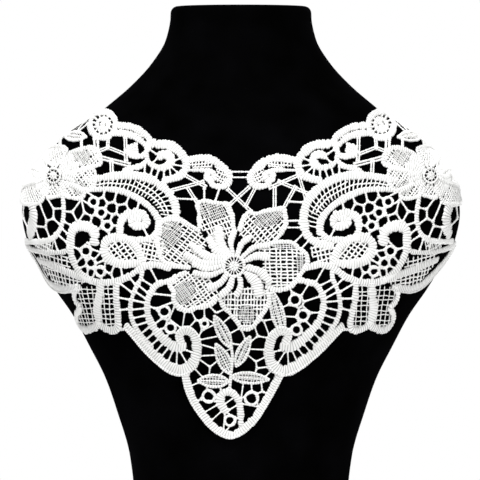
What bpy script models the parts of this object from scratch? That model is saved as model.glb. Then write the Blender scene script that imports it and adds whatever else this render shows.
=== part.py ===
"""Lace collar on a dress form, in metres, +Z up, the front towards -Y, origin under the form.

The form is a smooth limbless bust, lofted through level outlines. The collar is one wall of
guipure lace. Its motifs are laid out on a chart, united in the flat, cut through at every
gap between its bars, and then laid on the form with a plain inside and a raised outside.
"""

import math
from collections import namedtuple

import bmesh
import bpy
import numpy as np
from mathutils import Vector
from mathutils.geometry import delaunay_2d_cdt

# ---- driving sizes, metres ----
CHART_SQUARE = 0.00082      # one square of the lace chart
CHART_MIDDLE = 241.0        # chart column over the form's middle
CHART_BASE = 565.0          # chart row at the form's flat base
FORM_SETBACK = 0.0157       # moves the form back, so that its box is centred on the origin
NECK_RIM = 0.006            # rounding of the neck's top edge

LACE_LIFT = 0.00065         # the collar's plain inner face above the form
NET_THICKNESS = 0.0011      # bars, rings and net fillings
CORD_EDGE = 0.0014          # a cord's thickness at its two sides
CORD_RIDGE = 0.0024         # and along its middle
LOBE_RIDGE = 0.0028         # padded flower lobes
BAR_WIDTH = 0.0019
SMALLEST_GAP_AREA = 1.0e-5  # smaller gaps in the lace stay closed
OUTLINE_TOLERANCE = 0.00034 # how far an outline may stray where a point is spared
CLOSEST_POINTS = 0.0005     # along an outline
MOST_SAG = 0.00036          # how far the form may bulge over a straight edge of the wall
EDGE_CLEAR = 0.0013         # between the wall's inner points and its outlines
RIDGE_GAP = 0.0078          # between two inner points along the cords' ridges
FIELD_STEP = 0.0125         # and in the fields between them
FIELD_GAP = 0.0100
SPLIT_CLEAR = 0.0008        # the same two for a point that splits a sagging edge
SPLIT_GAP = 0.003
KNOT_RADIUS = 0.0008        # closes two gaps that would meet in one point

FORM_SIDES = 52
FORM_SAG = 0.0004           # how far the form's profile may stray between two levels

Section = namedtuple("Section", "height half_width front back squareness")
SECTIONS = [
    Section(0.000, 0.0985, 0.084, 0.070, 2.25),
    Section(0.030, 0.0925, 0.078, 0.065, 2.25),
    Section(0.058, 0.0893, 0.076, 0.063, 2.25),
    Section(0.086, 0.0922, 0.079, 0.062, 2.25),
    Section(0.125, 0.1033, 0.084, 0.064, 2.25),
    Section(0.152, 0.1128, 0.090, 0.067, 2.25),
    Section(0.178, 0.1259, 0.098, 0.070, 2.25),
    Section(0.204, 0.1398, 0.107, 0.074, 2.25),
    Section(0.226, 0.1550, 0.112, 0.078, 2.25),
    Section(0.248, 0.1681, 0.112, 0.081, 2.25),
    Section(0.266, 0.1779, 0.109, 0.083, 2.25),
    Section(0.289, 0.1822, 0.103, 0.084, 2.25),
    Section(0.306, 0.1805, 0.098, 0.084, 2.25),
    Section(0.319, 0.1763, 0.094, 0.083, 2.25),
    Section(0.334, 0.1640, 0.088, 0.081, 2.25),
    Section(0.3485, 0.1515, 0.082, 0.078, 2.2),
    Section(0.3583, 0.1380, 0.0775, 0.0755, 2.2),
    Section(0.3682, 0.1232, 0.0725, 0.0725, 2.15),
    Section(0.3796, 0.1091, 0.068, 0.069, 2.1),
    Section(0.3944, 0.0918, 0.062, 0.065, 2.05),
    Section(0.4141, 0.0738, 0.057, 0.060, 2.0),
    Section(0.4338, 0.0623, 0.053, 0.055, 2.0),
    Section(0.4535, 0.0586, 0.051, 0.052, 2.0),
    Section(0.4610, 0.0586, 0.051, 0.052, 2.0),
]
FORM_HEIGHT = SECTIONS[-1].height

# ---- the chart: columns to the right, rows down, in squares; widths in squares too ----
# The collar hangs slightly askew: its own middle leans from one column to another.
LEAN_ROWS = (180.0, 377.0, 440.0)
LEAN_COLUMNS = (242.0, 231.5, 230.0)

Cord = namedtuple("Cord", "widths route")
SIDE_CORDS = {
    "shoulder_edge": Cord((5, 5, 5), [(98, 112), (89, 116.5), (76, 122.5), (65, 130.5), (59, 140),
                                      (63, 152)]),
    "scallop_two": Cord((7, 7.4, 6.5), [(114, 125.5), (122, 126.3), (131, 127.3), (140, 131.3),
                                        (148, 137.5), (151, 143)]),
    "scallop_two_inner": Cord((6.5, 6.5, 5), [(113, 133.5), (123, 134), (132, 136.5), (141, 141.5),
                                              (147, 147)]),
    "scallop_three": Cord((9, 10, 8, 7), [(149, 143), (158, 144.8), (168, 145.3), (177, 150),
                                          (184.5, 158.5), (186.5, 167), (182, 175), (173, 179),
                                          (164, 181)]),
    "scallop_three_foot": Cord((5, 6, 5), [(124, 171), (132, 168.5), (141, 166.5), (147, 161)]),
    "scallop_four": Cord((7, 8, 6), [(184.5, 161), (198, 158.5), (210, 159.5), (222, 167), (229.5, 177),
                                     (226, 185.5), (215, 186.5), (209, 181)]),
    "scallop_four_curl": Cord((2.5, 4, 7, 7), [(184.5, 171), (200, 170.8), (208, 171.5), (214, 174.5),
                                               (213, 180), (207.5, 179.5), (207.5, 175)]),
    "curl_two": Cord((6, 5, 7, 8, 8), [(150, 144), (147.5, 151), (143, 156.3), (136, 156.5),
                                           (129.5, 154), (129, 149), (134, 148), (135.5, 152)]),
    "curl_three": Cord((4.5, 5, 6.5, 9, 9), [(147, 147), (146.8, 156), (149, 163), (156, 167.3), (164, 168),
                                           (170, 163.5), (170.5, 157.5), (165, 154.8), (160, 156.5)]),
    "crescent_outer": Cord((6, 9, 9, 9, 8), [(88, 181), (106, 177.5), (130, 175.5), (150, 179.5),
                                             (166, 190), (175, 204), (176.5, 220), (173.5, 231),
                                             (167.5, 239), (158, 244), (146, 246.5)]),
    "crescent_inner": Cord((5, 7, 7), [(90, 190), (108, 189.5), (122, 191.5), (137, 198), (151, 208.5),
                                       (159, 221), (159, 234)]),
    "spiral_root": Cord((6, 7, 6), [(121, 238), (135, 240), (150, 239), (158, 232)]),
    "spiral": Cord((7, 9, 9, 9, 9, 8), [(121, 239), (120.5, 229), (122.5, 220), (129, 214.5), (138, 213.5),
                                          (145.5, 217.5), (146, 224.5), (139.5, 226.5), (133, 224),
                                          (134, 219.5), (140, 219)]),
    "pomegranate": Cord((8, 10, 8), [(142, 262), (128, 264), (114, 261.5), (106, 254), (106, 243),
                                     (116, 237.5), (129, 240), (138, 248), (143, 262)]),
    "stem": Cord((5, 6, 6), [(63, 196), (64, 213), (61.5, 227), (54, 237), (42, 241), (24, 241)]),
    "loop": Cord((12, 10, 7, 7, 7), [(95, 242), (94, 231), (84, 226), (74, 229), (71, 241), (72, 255),
                                     (79, 270), (93, 280.5), (110, 282), (127, 277.5), (141, 268.5),
                                     (155, 264.5), (170, 268)]),
    "shoulder_fold": Cord((14, 16, 12), [(31.5, 204), (33, 214), (32, 225), (28.5, 235)]),
    "leaf_top": Cord((7, 5, 5), [(22, 244), (36, 250), (50, 252), (66, 251), (70, 244)]),
    "leaf_middle": Cord((6, 9, 7), [(38, 259), (50, 264), (64, 270), (80, 276), (92, 281)]),
    "leaf_edge": Cord((8, 9, 7), [(22, 243), (28, 256), (38, 270), (50, 283), (62, 288.5), (80, 287)]),
    "tulip_left": Cord((7, 8, 8), [(78, 286), (74.5, 293), (76, 301), (80.5, 307.5), (76.5, 315),
                                   (77.5, 324), (85, 330), (95, 327), (100, 323)]),
    "tulip_right": Cord((7, 8, 6), [(99, 323), (106, 328), (114, 330), (119, 325), (118.5, 312),
                                    (117, 298), (118, 283)]),
    "tulip_spine": Cord((6, 8, 7), [(102, 282), (100, 296), (97.5, 308), (99, 322)]),
    "tulip_foot": Cord((3, 4), [(120, 329), (131, 328.5)]),
    "rail_outer": Cord((5, 5, 6), [(143, 267), (141.5, 278), (134.5, 292), (131, 306), (133, 320),
                                   (141, 334), (152, 347)]),
    "rail_inner": Cord((6, 7, 12), [(175, 279.5), (167, 281.5), (157, 285), (149.5, 296), (148, 309),
                                    (152, 323), (162, 336), (173, 345), (183, 346)]),
    "scroll": Cord((7, 10, 12, 10, 8), [(127, 325), (136, 335), (147, 347.5), (160, 359.5), (172, 368),
                                        (183, 370), (193, 363), (197, 350), (195, 336), (187, 329.5),
                                        (180, 334), (182, 342)]),
}
MIDDLE_CORDS = {
    "point_edge": Cord((8, 8, 8), [(186, 374), (189, 388), (195, 402), (205, 417), (216, 428.5),
                                   (229, 435), (241, 431), (254, 419), (263, 405), (271, 391), (277, 379),
                                   (281, 371)]),
    "point_hook": Cord((6, 6.5, 7.5, 9, 8), [(241, 426), (240.5, 411), (238, 399), (230, 391.5),
                                             (222, 394), (220.5, 403), (226, 411)]),
    "point_stem": Cord((3, 3), [(231, 342), (232.5, 358), (231, 374), (229.5, 390)]),
}
END_SCALLOP = "scallop_four"
SCALLOP_SHIFT = 4.0         # the right end scallop sits this much nearer to the middle, in squares
LEFT_ENDS = {"crescent_outer": 7}   # on the left the flower's petal covers the cord's last points

Leaf = namedtuple("Leaf", "base tip half_width")
SIDE_LEAVES = [
    Leaf((86.5, 137.5), (65.5, 135), 5.0),
    Leaf((70, 261), (37, 254), 6.0),
]
MIDDLE_LEAVES = [
    Leaf((231, 347), (214.5, 315), 6.3),
    Leaf((231, 374), (216, 343), 6.8),
    Leaf((236, 366), (250, 335.5), 6.2),
    Leaf((229, 381), (198, 380), 7.0),
    Leaf((231, 376), (269, 379), 6.2),
    Leaf((283, 334), (271, 289), 7.0),
]

# Solid fillings: a net too fine to cut, between the cords around it.
CRESCENT = Cord((8, 14, 20, 18, 10), [(94, 185), (114, 183), (135, 184.5), (152, 191), (164, 203),
                                      (168, 217), (167, 232)])
SIDE_FILLINGS = {
    "scallop_four": [(186, 160), (205, 158), (222, 168), (228, 180), (215, 186), (208, 176), (190, 170)],
    "spiral": [(118, 226), (123, 212), (143, 211), (151, 222), (143, 231), (128, 230)],
    "pomegranate": [(107, 250), (114, 239), (130, 241), (141, 260), (126, 264), (112, 260)],
    "pomegranate_side": [(138, 246), (148, 240), (162, 236), (168, 250), (160, 264), (145, 266)],
    "leaf_upper": [(36, 252), (50, 254), (70, 262), (72, 270), (56, 266), (40, 260)],
    "leaf_lower": [(34, 258), (50, 265), (90, 281), (80, 288), (58, 287), (44, 275)],
    "tulip": [(78, 285), (102, 281), (118, 284), (118, 312), (119, 326), (110, 329), (99, 324),
              (84, 329), (77, 320), (80, 307), (75, 295)],
}

Ring = namedtuple("Ring", "centre radius")
WHEEL = Ring((102.5, 125), 16.2)
WHEEL_CORD = 13.1           # the radius of its raised cord
WHEEL_CORD_WIDTH = 6.6
SIDE_RINGS = [
    Ring((94, 202.3), 6), Ring((102, 213), 6), Ring((108.2, 226), 6), Ring((86.7, 251), 6.3),
    Ring((91.8, 262.7), 6.2), Ring((101.2, 271), 6.2),
]
MIDDLE_RINGS = [
    Ring((165, 311), 6.8), Ring((171, 327), 6.4), Ring((204.7, 323), 5),
    Ring((209, 396), 7.3), Ring((251.5, 398), 7.8), Ring((230, 420.5), 6.5),
    Ring((294.5, 299.5), 6.8), Ring((302.5, 314.5), 6.8), Ring((296, 329), 6.4),
]
RING_WALL = 2.3             # squares

# A petal's rim about its flower's centre: (degrees from the right and upwards, squares from the centre).
MIDDLE_FLOWER = (234.0, 266.0)
MIDDLE_PETALS = [
    [(132, 51), (124, 62), (121, 71), (115, 72), (108, 66), (97, 62), (94, 56), (92, 47), (90, 36)],
    [(81, 36), (79, 48), (75, 55), (67, 56), (60, 63), (54, 69), (49, 76), (44, 71), (39, 67), (35, 58),
     (31, 47)],
    [(32, 42), (27, 53), (22, 62), (15, 67), (9, 73), (2, 73), (-5, 68), (-13, 64), (-22, 58), (-29, 49),
     (-32, 38)],
    [(-37, 41), (-44, 49), (-54, 53), (-63, 57), (-71, 62), (-77, 64), (-83, 62), (-87, 55), (-95, 47),
     (-105, 41), (-114, 35)],
    [(-119, 35), (-120, 42), (-126, 49), (-132, 55), (-136, 64), (-143, 68), (-150, 69), (-157, 65),
     (-164, 67), (-169, 61), (-173, 48)],
    [(182, 44), (180, 57), (178, 67), (173, 74), (167, 77), (160, 82), (152, 86), (146, 82), (140, 73),
     (138, 63), (135, 49)],
]
MIDDLE_BUTTON = 10.0
MIDDLE_RIM = 4.6
SIDE_FLOWER = (54.0, 176.5)
SIDE_PETALS = [
    [(58, 16), (56, 27), (50, 33), (43, 41), (35, 49), (25, 51), (14, 47), (12, 18)],
    [(11, 18), (10, 40), (0, 42), (-8, 42), (-22, 39), (-25, 18)],
    [(-27, 16), (-28, 34), (-36, 36), (-45, 32), (-54, 26), (-61, 22), (-62, 14)],
    [(-64, 12), (-66, 20), (-88, 20.5), (-108, 22), (-112, 12)],
    [(-114, 16), (-117, 29), (-127, 35), (-139, 41), (-151, 42), (-158, 38), (-160, 18)],
    [(-162, 16), (-164, 36), (-174, 41), (-186, 42), (-196, 38), (-199, 18)],
    [(-201, 16), (-204, 34), (-214, 36), (-228, 35), (-238, 30), (-240, 14)],
    [(106, 12), (106, 27), (90, 30), (74, 30), (64, 29), (63, 14)],
]
SIDE_BUTTON = 6.8
SIDE_RIM = 4.0
SIDE_LOBE_START = 9.0
SIDE_LOBE_SHARE = 0.5      # how far a lobe reaches along its petal
PETAL_PULL = 0.3            # how round the petals' corners are
LOBE_BEND = 0.13            # a lobe's bow, as a share of its length

# The padded lobes that curl out of the middle flower.
Lobe = namedtuple("Lobe", "start end width")
MIDDLE_LOBES = [
    Lobe((229.5, 256.5), (219, 229), 10.5), Lobe((233, 254), (234.8, 231), 6.5),
    Lobe((237.5, 254.5), (251, 237), 7), Lobe((242.5, 257), (268.5, 245.5), 6.5),
    Lobe((245, 261), (268, 257.5), 8), Lobe((247, 267), (269, 282), 9.5),
    Lobe((246, 273), (259, 293.5), 11.5), Lobe((240, 277.5), (236.5, 294.5), 7),
    Lobe((233, 276.5), (220.5, 295), 7.5), Lobe((228, 273), (209, 287.5), 7.5),
    Lobe((224.5, 269.5), (194.5, 272.5), 6.5), Lobe((223, 265.5), (194, 264), 6.5),
    Lobe((224, 261.5), (186, 255), 8), Lobe((226, 258.5), (192.5, 245.5), 9),
    Lobe((228, 257), (209.5, 239), 9),
]

LOBE_PROFILE = (0.3, 0.42, 0.48, 0.5, 0.42)     # half widths along a lobe, as shares of its width

Bar = namedtuple("Bar", "start end width")
SHOULDER_BARS = [
    Bar((98, 152), (109, 148), 4.0),
    Bar((107, 147.5), (126, 155), 3.8),
    Bar((97, 157), (131, 166), 5.0),
    Bar((111.5, 160), (112.5, 177), 4.6),
    Bar((125.5, 137), (126.5, 163), 4.2),
    Bar((108.5, 137), (107.8, 150), 4.0),
    Bar((81.5, 137), (82, 152), 3.6),
    Bar((96, 138), (97, 154), 7.0),
    Bar((136, 143), (136, 150), 4.0),
]
NECKLINE_BARS = [
    Bar((230, 172.5), (252, 172.5), 2.2),
    Bar((230, 178), (252, 178), 2.2),
    Bar((227, 189), (252, 213), 4.0),
    Bar((250, 187), (229, 206), 4.0),
    Bar((256, 187), (245, 208), 3.6),
    Bar((220, 188), (215, 203), 3.0),
    Bar((204.5, 188), (204.5, 204), 3.0),
    Bar((184, 175), (207, 188), 4.0),
    Bar((168, 192), (205, 182), 4.0),
    Bar((187, 187), (199, 206), 4.0),
    Bar((172, 199), (198, 200), 2.6),
    Bar((274.5, 186), (274.5, 210), 4.2),
    Bar((296, 186), (281, 213), 4.0),
    Bar((287, 202), (303, 203), 2.8),
    Bar((268, 189), (299, 175.5), 4.0),
    Bar((277, 181.5), (310, 195), 4.0),
    Bar((298, 174), (306, 201), 3.6),
    Bar((284, 221.5), (301, 221), 2.6),
    Bar((284, 228), (301, 228), 2.2),
    Bar((294, 243), (305, 232), 2.4),
    Bar((300, 250), (309, 240), 2.4),
]

# Gap centres of the ground: the bars run midway between neighbouring gaps.
SIDE_GAPS = {
    "shoulder": [(85.8, 122.8), (77, 127), (83.5, 130.5), (75, 145.5), (88, 142)],
    "scallop_three": [(165.5, 151), (171.5, 154), (176, 158), (178, 163), (177, 169), (173.5, 173),
                      (167.5, 174), (161, 174), (155.5, 172), (149, 170), (141, 170),
                      (153.5, 157), (157.5, 151), (159.5, 163)],
    "crescent": [(98.5, 194.5), (110, 197), (101.7, 203.5), (121.5, 200), (133, 205), (112, 209),
                 (123, 210), (90, 210), (79.3, 213), (71, 205), (70.5, 219), (86.5, 219), (97, 222),
                 (108, 218), (115, 221), (115, 231), (104, 235), (94, 202.3), (102, 213), (108.2, 226)],
    "stem": [(58, 203.5), (49.5, 213), (58.5, 214), (41, 220), (52.5, 226), (42, 233), (34.5, 237),
             (64.5, 234.5), (67.5, 229), (61, 242), (51.5, 245.5), (44, 245.5), (20.5, 211), (25.5, 217),
             (24, 226)],
    "spiral": [(151, 214), (144, 208), (139.5, 234.5), (151.5, 228), (81, 242)],
    "loop": [(97, 246.5), (95.5, 254.3), (78.3, 256), (82.5, 262), (99.5, 259), (101.5, 264.5),
             (85.5, 270.5), (91.5, 273), (97, 277.5), (107, 276.5), (109.5, 267.5), (117.3, 271.8),
             (127.5, 270), (136.5, 267.5), (86.7, 251), (91.8, 262.7), (101.2, 271)],
    "ladder_outer": [(137, 277.5), (130, 284.5), (125.5, 292), (124.5, 304), (126, 313.5), (127, 322)],
    "ladder_inner": [(160, 274), (151, 279), (146.5, 287), (143, 292), (140, 297.5), (139, 304),
                     (140, 312.5), (141.5, 319.5), (143.5, 326.5), (148, 333), (152.5, 339), (157, 345),
                     (162, 350), (167.5, 355), (173.5, 358), (181, 358.5), (187, 355), (190.5, 345.5)],
    "inside_scroll": [(162, 288), (161, 300), (156.5, 317), (161.5, 324), (164.5, 332), (171.5, 337),
                      (178, 317), (190.5, 319), (165, 311), (171, 327)],
}
RIGHT_GAPS = [(299, 288), (308, 294), (311, 304), (285, 297), (291, 311), (290.5, 321), (311, 320),
              (305, 326), (303, 333.5), (296, 339), (286, 343), (294.5, 299.5), (302.5, 314.5), (296, 329)]
MIDDLE_GAPS = [
    (199.5, 314.5), (210, 314), (197, 325), (204.7, 323), (218.5, 306),
    (222.5, 314.5), (230.5, 324), (209, 332), (211, 342), (208.5, 350.5), (209, 359), (203, 367.5),
    (217, 369), (237.5, 337), (235.5, 350), (229, 354), (225, 345.5), (194, 376),
    (200, 390), (215, 389), (225.5, 385), (226.5, 376.5), (239, 388), (246, 389), (257.5, 388),
    (266, 387), (261.5, 396.5), (249.5, 365), (258.5, 354), (259, 343.5), (263, 363), (264, 370.5),
    (271, 377), (227, 398), (231, 403.5), (208, 404.5), (213, 413), (219, 419.5), (235.5, 425),
    (235.5, 411), (249, 412), (250, 332), (262, 328), (268, 313), (270, 325), (209, 396),
    (251.5, 398), (230, 420.5),
]


# ---- the form's surface ----

def monotone(xs, ys):
    """A smooth curve through the rows of a table that never overshoots them."""
    xs = np.asarray(xs, float)
    ys = np.asarray(ys, float)
    step = np.diff(xs)
    slope = np.diff(ys) / step
    tangent = np.zeros(len(xs))
    tangent[0], tangent[-1] = slope[0], slope[-1]
    for i in range(1, len(xs) - 1):
        if slope[i - 1] * slope[i] > 0:
            w1 = 2 * step[i] + step[i - 1]
            w2 = step[i] + 2 * step[i - 1]
            tangent[i] = (w1 + w2) / (w1 / slope[i - 1] + w2 / slope[i])

    def value(x):
        x = np.clip(x, xs[0], xs[-1])
        i = np.clip(np.searchsorted(xs, x) - 1, 0, len(xs) - 2)
        h = step[i]
        t = (x - xs[i]) / h
        return (ys[i] * (1 + 2 * t) * (1 - t) ** 2 + h * tangent[i] * t * (1 - t) ** 2
                + ys[i + 1] * t * t * (3 - 2 * t) + h * tangent[i + 1] * t * t * (t - 1))

    return value


HEIGHTS = [row.height for row in SECTIONS]
HALF_WIDTH = monotone(HEIGHTS, [row.half_width for row in SECTIONS])
FRONT = monotone(HEIGHTS, [row.front for row in SECTIONS])
BACK = monotone(HEIGHTS, [row.back for row in SECTIONS])
SQUARENESS = monotone(HEIGHTS, [row.squareness for row in SECTIONS])


def outline_point(height, turn):
    """A point of the level outline; the turn runs from 0 at the front's middle to pi behind."""
    power = 2.0 / SQUARENESS(height)
    depth = np.where(np.cos(turn) > 0, FRONT(height), BACK(height))
    across = HALF_WIDTH(height) * np.abs(np.sin(turn)) ** power
    along = -depth * np.sign(np.cos(turn)) * np.abs(np.cos(turn)) ** power
    return across, along


class Surface:
    """The form, read by the way around it from the front's middle and by the height."""

    step = 0.001
    turns = np.linspace(0.0, math.pi, 361)

    def __init__(self):
        rows = int(round(FORM_HEIGHT / self.step)) + 1
        self.across = []
        self.along = []
        self.way = []
        for row in range(rows):
            across, along = outline_point(row * self.step, self.turns)
            run = np.hypot(np.diff(across), np.diff(along))
            self.across.append(across)
            self.along.append(along)
            self.way.append(np.concatenate([[0.0], np.cumsum(run)]))

    def point(self, way, height):
        place = min(max(height / self.step, 0.0), len(self.way) - 1.001)
        row = int(place)
        part = place - row
        found = np.zeros(2)
        for index, share in ((row, 1 - part), (row + 1, part)):
            found[0] += share * np.interp(abs(way), self.way[index], self.across[index])
            found[1] += share * np.interp(abs(way), self.way[index], self.along[index])
        return Vector((math.copysign(found[0], way), found[1] + FORM_SETBACK, height))

    def lifted(self, way, height, lift):
        here = self.point(way, height)
        around = self.point(way + 0.002, height) - self.point(way - 0.002, height)
        upward = self.point(way, height + 0.002) - self.point(way, height - 0.002)
        return here + around.cross(upward).normalized() * lift

    def way_at(self, across, height):
        row = int(round(height / self.step))
        quarter = len(self.turns) // 2 + 1
        reach = self.across[row][quarter - 1]
        way = np.interp(abs(across), self.across[row][:quarter], self.way[row][:quarter])
        return math.copysign(way + max(0.0, abs(across) - reach), across)


SURFACE = Surface()


# ---- from the chart to the flat collar ----

def mirrored(place):
    lean = float(np.interp(place[1], LEAN_ROWS, LEAN_COLUMNS))
    return 2 * lean - place[0], place[1]


def side_place(name, turn, place):
    """A named motif's chart place on its side of the collar."""
    x, y = turn(place)
    if turn is mirrored and name.startswith(END_SCALLOP):
        x -= SCALLOP_SHIFT
    return x, y


def flat(place):
    """A chart place on the flat collar: the way around the form and the height, metres."""
    height = (CHART_BASE - place[1]) * CHART_SQUARE
    return np.array([SURFACE.way_at((place[0] - CHART_MIDDLE) * CHART_SQUARE, height), height])


def smooth(points, spacing, pull=0.5):
    """A cardinal curve through the points, at even spacing along it; less pull, sharper corners."""
    points = [np.asarray(p, float) for p in points]
    knots = [2 * points[0] - points[1]] + points + [2 * points[-1] - points[-2]]
    fine = []
    for a, b, c, d in zip(knots, knots[1:], knots[2:], knots[3:]):
        t = np.linspace(0.0, 1.0, 10, endpoint=False)[:, None]
        fine.append(b + pull * (c - a) * t + (3 * (c - b) - pull * (2 * c - 2 * a + d - b)) * t * t
                    + (2 * (b - c) + pull * (c - a + d - b)) * t ** 3)
    fine.append(knots[-2][None])
    fine = np.concatenate(fine)
    run = np.concatenate([[0.0], np.cumsum(np.linalg.norm(np.diff(fine, axis=0), axis=1))])
    count = max(2, int(round(run[-1] / spacing)) + 1)
    marks = np.linspace(0.0, run[-1], count)
    return np.stack([np.interp(marks, run, fine[:, k]) for k in (0, 1)], axis=1)


def half_squares(widths):
    return [0.5 * w * CHART_SQUARE for w in widths]


def about(centre, degrees, squares):
    """The flat place at an angle and a distance on the chart from a chart place."""
    angle = math.radians(degrees)
    return flat((centre[0] + squares * math.cos(angle), centre[1] - squares * math.sin(angle)))


def circle(centre, squares, count):
    return [about(centre, 360 * k / count, squares) for k in range(count)]


class Collar:
    """The motifs of the flat collar: convex pieces to unite, and the heights they give."""

    def __init__(self):
        self.pieces = []
        self.runs = []          # (points, half widths, edge thickness, ridge thickness)
        self.ridge_points = []

    def convex(self, points):
        """Adds the convex hull of a few points, counter-clockwise."""
        points = sorted({(round(float(x), 7), round(float(y), 7)) for x, y in points})
        if len(points) < 3:
            return

        def half(order):
            chain = []
            for p in order:
                while len(chain) > 1 and cross(chain[-2], chain[-1], p) <= 1e-12:
                    chain.pop()
                chain.append(p)
            return chain[:-1]

        hull = half(points) + half(points[::-1])
        if len(hull) > 2:
            self.pieces.append(hull)

    def band(self, curve, half_widths, edge, ridge):
        """A cord along a curve, of quads between its ribs, with rounded ends."""
        curve = np.asarray(curve)
        widths = np.interp(np.linspace(0, 1, len(curve)),
                           np.linspace(0, 1, len(half_widths)), half_widths)
        tangent = np.gradient(curve, axis=0)
        tangent /= np.linalg.norm(tangent, axis=1)[:, None]
        side = np.stack([-tangent[:, 1], tangent[:, 0]], axis=1) * widths[:, None]
        for i in range(len(curve) - 1):
            self.convex([curve[i] + side[i], curve[i + 1] + side[i + 1],
                         curve[i + 1] - side[i + 1], curve[i] - side[i]])
        for end, way in ((0, -1.0), (-1, 1.0)):
            cap = curve[end] + tangent[end] * widths[end] * CAP_LENGTH * way
            self.convex([curve[end] + side[end], curve[end] - side[end],
                         cap + side[end] * CAP_WIDTH, cap - side[end] * CAP_WIDTH])
        self.runs.append((curve, widths, edge, ridge))
        if ridge > edge:
            self.ridge_points.extend(curve)

    def area(self, outline):
        """A star-shaped filling: a fan of triangles about its middle."""
        outline = [np.asarray(p, float) for p in outline]
        middle = sum(outline) / len(outline)
        for a, b in zip(outline, outline[1:] + outline[:1]):
            self.convex([middle, a, b])

    def close(self):
        """Fixes the motifs, so that points can be tested against them quickly."""
        self.boxes = np.array([[*np.min(piece, axis=0), *np.max(piece, axis=0)] for piece in self.pieces])

    def inside(self, p):
        box = self.boxes
        near = (box[:, 0] <= p[0]) & (box[:, 1] <= p[1]) & (box[:, 2] >= p[0]) & (box[:, 3] >= p[1])
        for index in np.flatnonzero(near):
            piece = self.pieces[index]
            if all(cross(a, b, p) >= -1e-12 for a, b in zip(piece, piece[1:] + piece[:1])):
                return True
        return False


def cross(a, b, c):
    return (b[0] - a[0]) * (c[1] - a[1]) - (b[1] - a[1]) * (c[0] - a[0])


CAP_LENGTH = 0.7            # a cord's rounded end, as shares of its half width
CAP_WIDTH = 0.6
CORD_SPACING = 0.0072       # between a cord's ribs
PETAL_SPACING = 0.0055
BOSS_SIDES = 14
RING_SIDES = 8
LONGEST_BAR = 0.016         # a loose bar's end runs on by up to this to meet a motif
FARTHEST_GAPS = 0.026       # gaps farther apart have no bar between them
RUN_STEP = 0.0004           # of a bar's end on its way to a motif
BAR_BITE = 0.001            # and how far it goes into it


def add_cord(collar, cord, places):
    curve = smooth([flat(p) for p in places], CORD_SPACING)
    collar.band(curve, half_squares(cord.widths), CORD_EDGE, CORD_RIDGE)


def add_leaf(collar, base, tip, half_width):
    """A satin leaf: widest near its middle, with a raised vein."""
    base, tip = flat(base), flat(tip)
    curve = [base + (tip - base) * t for t in (0.0, 0.25, 0.55, 0.8, 1.0)]
    widths = [w * half_width * CHART_SQUARE for w in (0.3, 0.85, 1.0, 0.7, 0.15)]
    collar.band(curve, widths, CORD_EDGE, CORD_RIDGE)


def petal_outline(centre, petal, sign):
    """One petal's rim about its flower's chart place, in the flat; sign -1 mirrors it."""
    return [about(centre, degrees if sign > 0 else 180 - degrees, squares) for degrees, squares in petal]


def add_flower(collar, place, petals, rim_width, button, sign):
    """Petals with corded rims, and a button in the middle."""
    centre = flat(place)
    for petal in petals:
        rim = smooth(petal_outline(place, petal, sign), PETAL_SPACING, PETAL_PULL)
        collar.area([centre] + list(rim))
        collar.band(rim, half_squares([rim_width]), CORD_EDGE, CORD_EDGE)
    add_boss(collar, place, button)


def add_lobe(collar, start, end, width):
    """A padded lobe that curls out of a flower's middle."""
    run = end - start
    bulge = np.array([-run[1], run[0]]) * LOBE_BEND
    curve = smooth([start, start + 0.5 * run + bulge, end], CORD_SPACING)
    collar.band(curve, [share * width for share in LOBE_PROFILE], CORD_EDGE, LOBE_RIDGE)


def side_lobes(place, sign):
    """One padded lobe to each petal of the shoulder's flower."""
    for petal in SIDE_PETALS:
        first, last = petal[0][0], petal[-1][0]
        longest = SIDE_LOBE_SHARE * max(squares for _, squares in petal)
        degrees = 0.5 * (first + last)
        if sign < 0:
            degrees = 180 - degrees
        width = 0.5 * math.radians(abs(last - first)) * longest * CHART_SQUARE
        yield about(place, degrees, SIDE_LOBE_START), about(place, degrees, longest), width


def add_boss(collar, place, squares):
    """A round boss, highest in its middle."""
    centre = flat(place)
    collar.convex(circle(place, squares, BOSS_SIDES))
    collar.ridge_points.append(centre)
    nearly = np.array([centre, centre + [0.1 * CLOSEST_POINTS, 0]])
    collar.runs.append((nearly, np.full(2, squares * CHART_SQUARE), CORD_EDGE, CORD_RIDGE))


def ring_cord(collar, centre, radius):
    turn = np.linspace(0, 360, RING_SIDES + 1)
    for a, b in zip(turn, turn[1:]):
        collar.convex([about(centre, degrees, squares) for squares in (radius - RING_WALL, radius)
                       for degrees in (a, b)])


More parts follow.
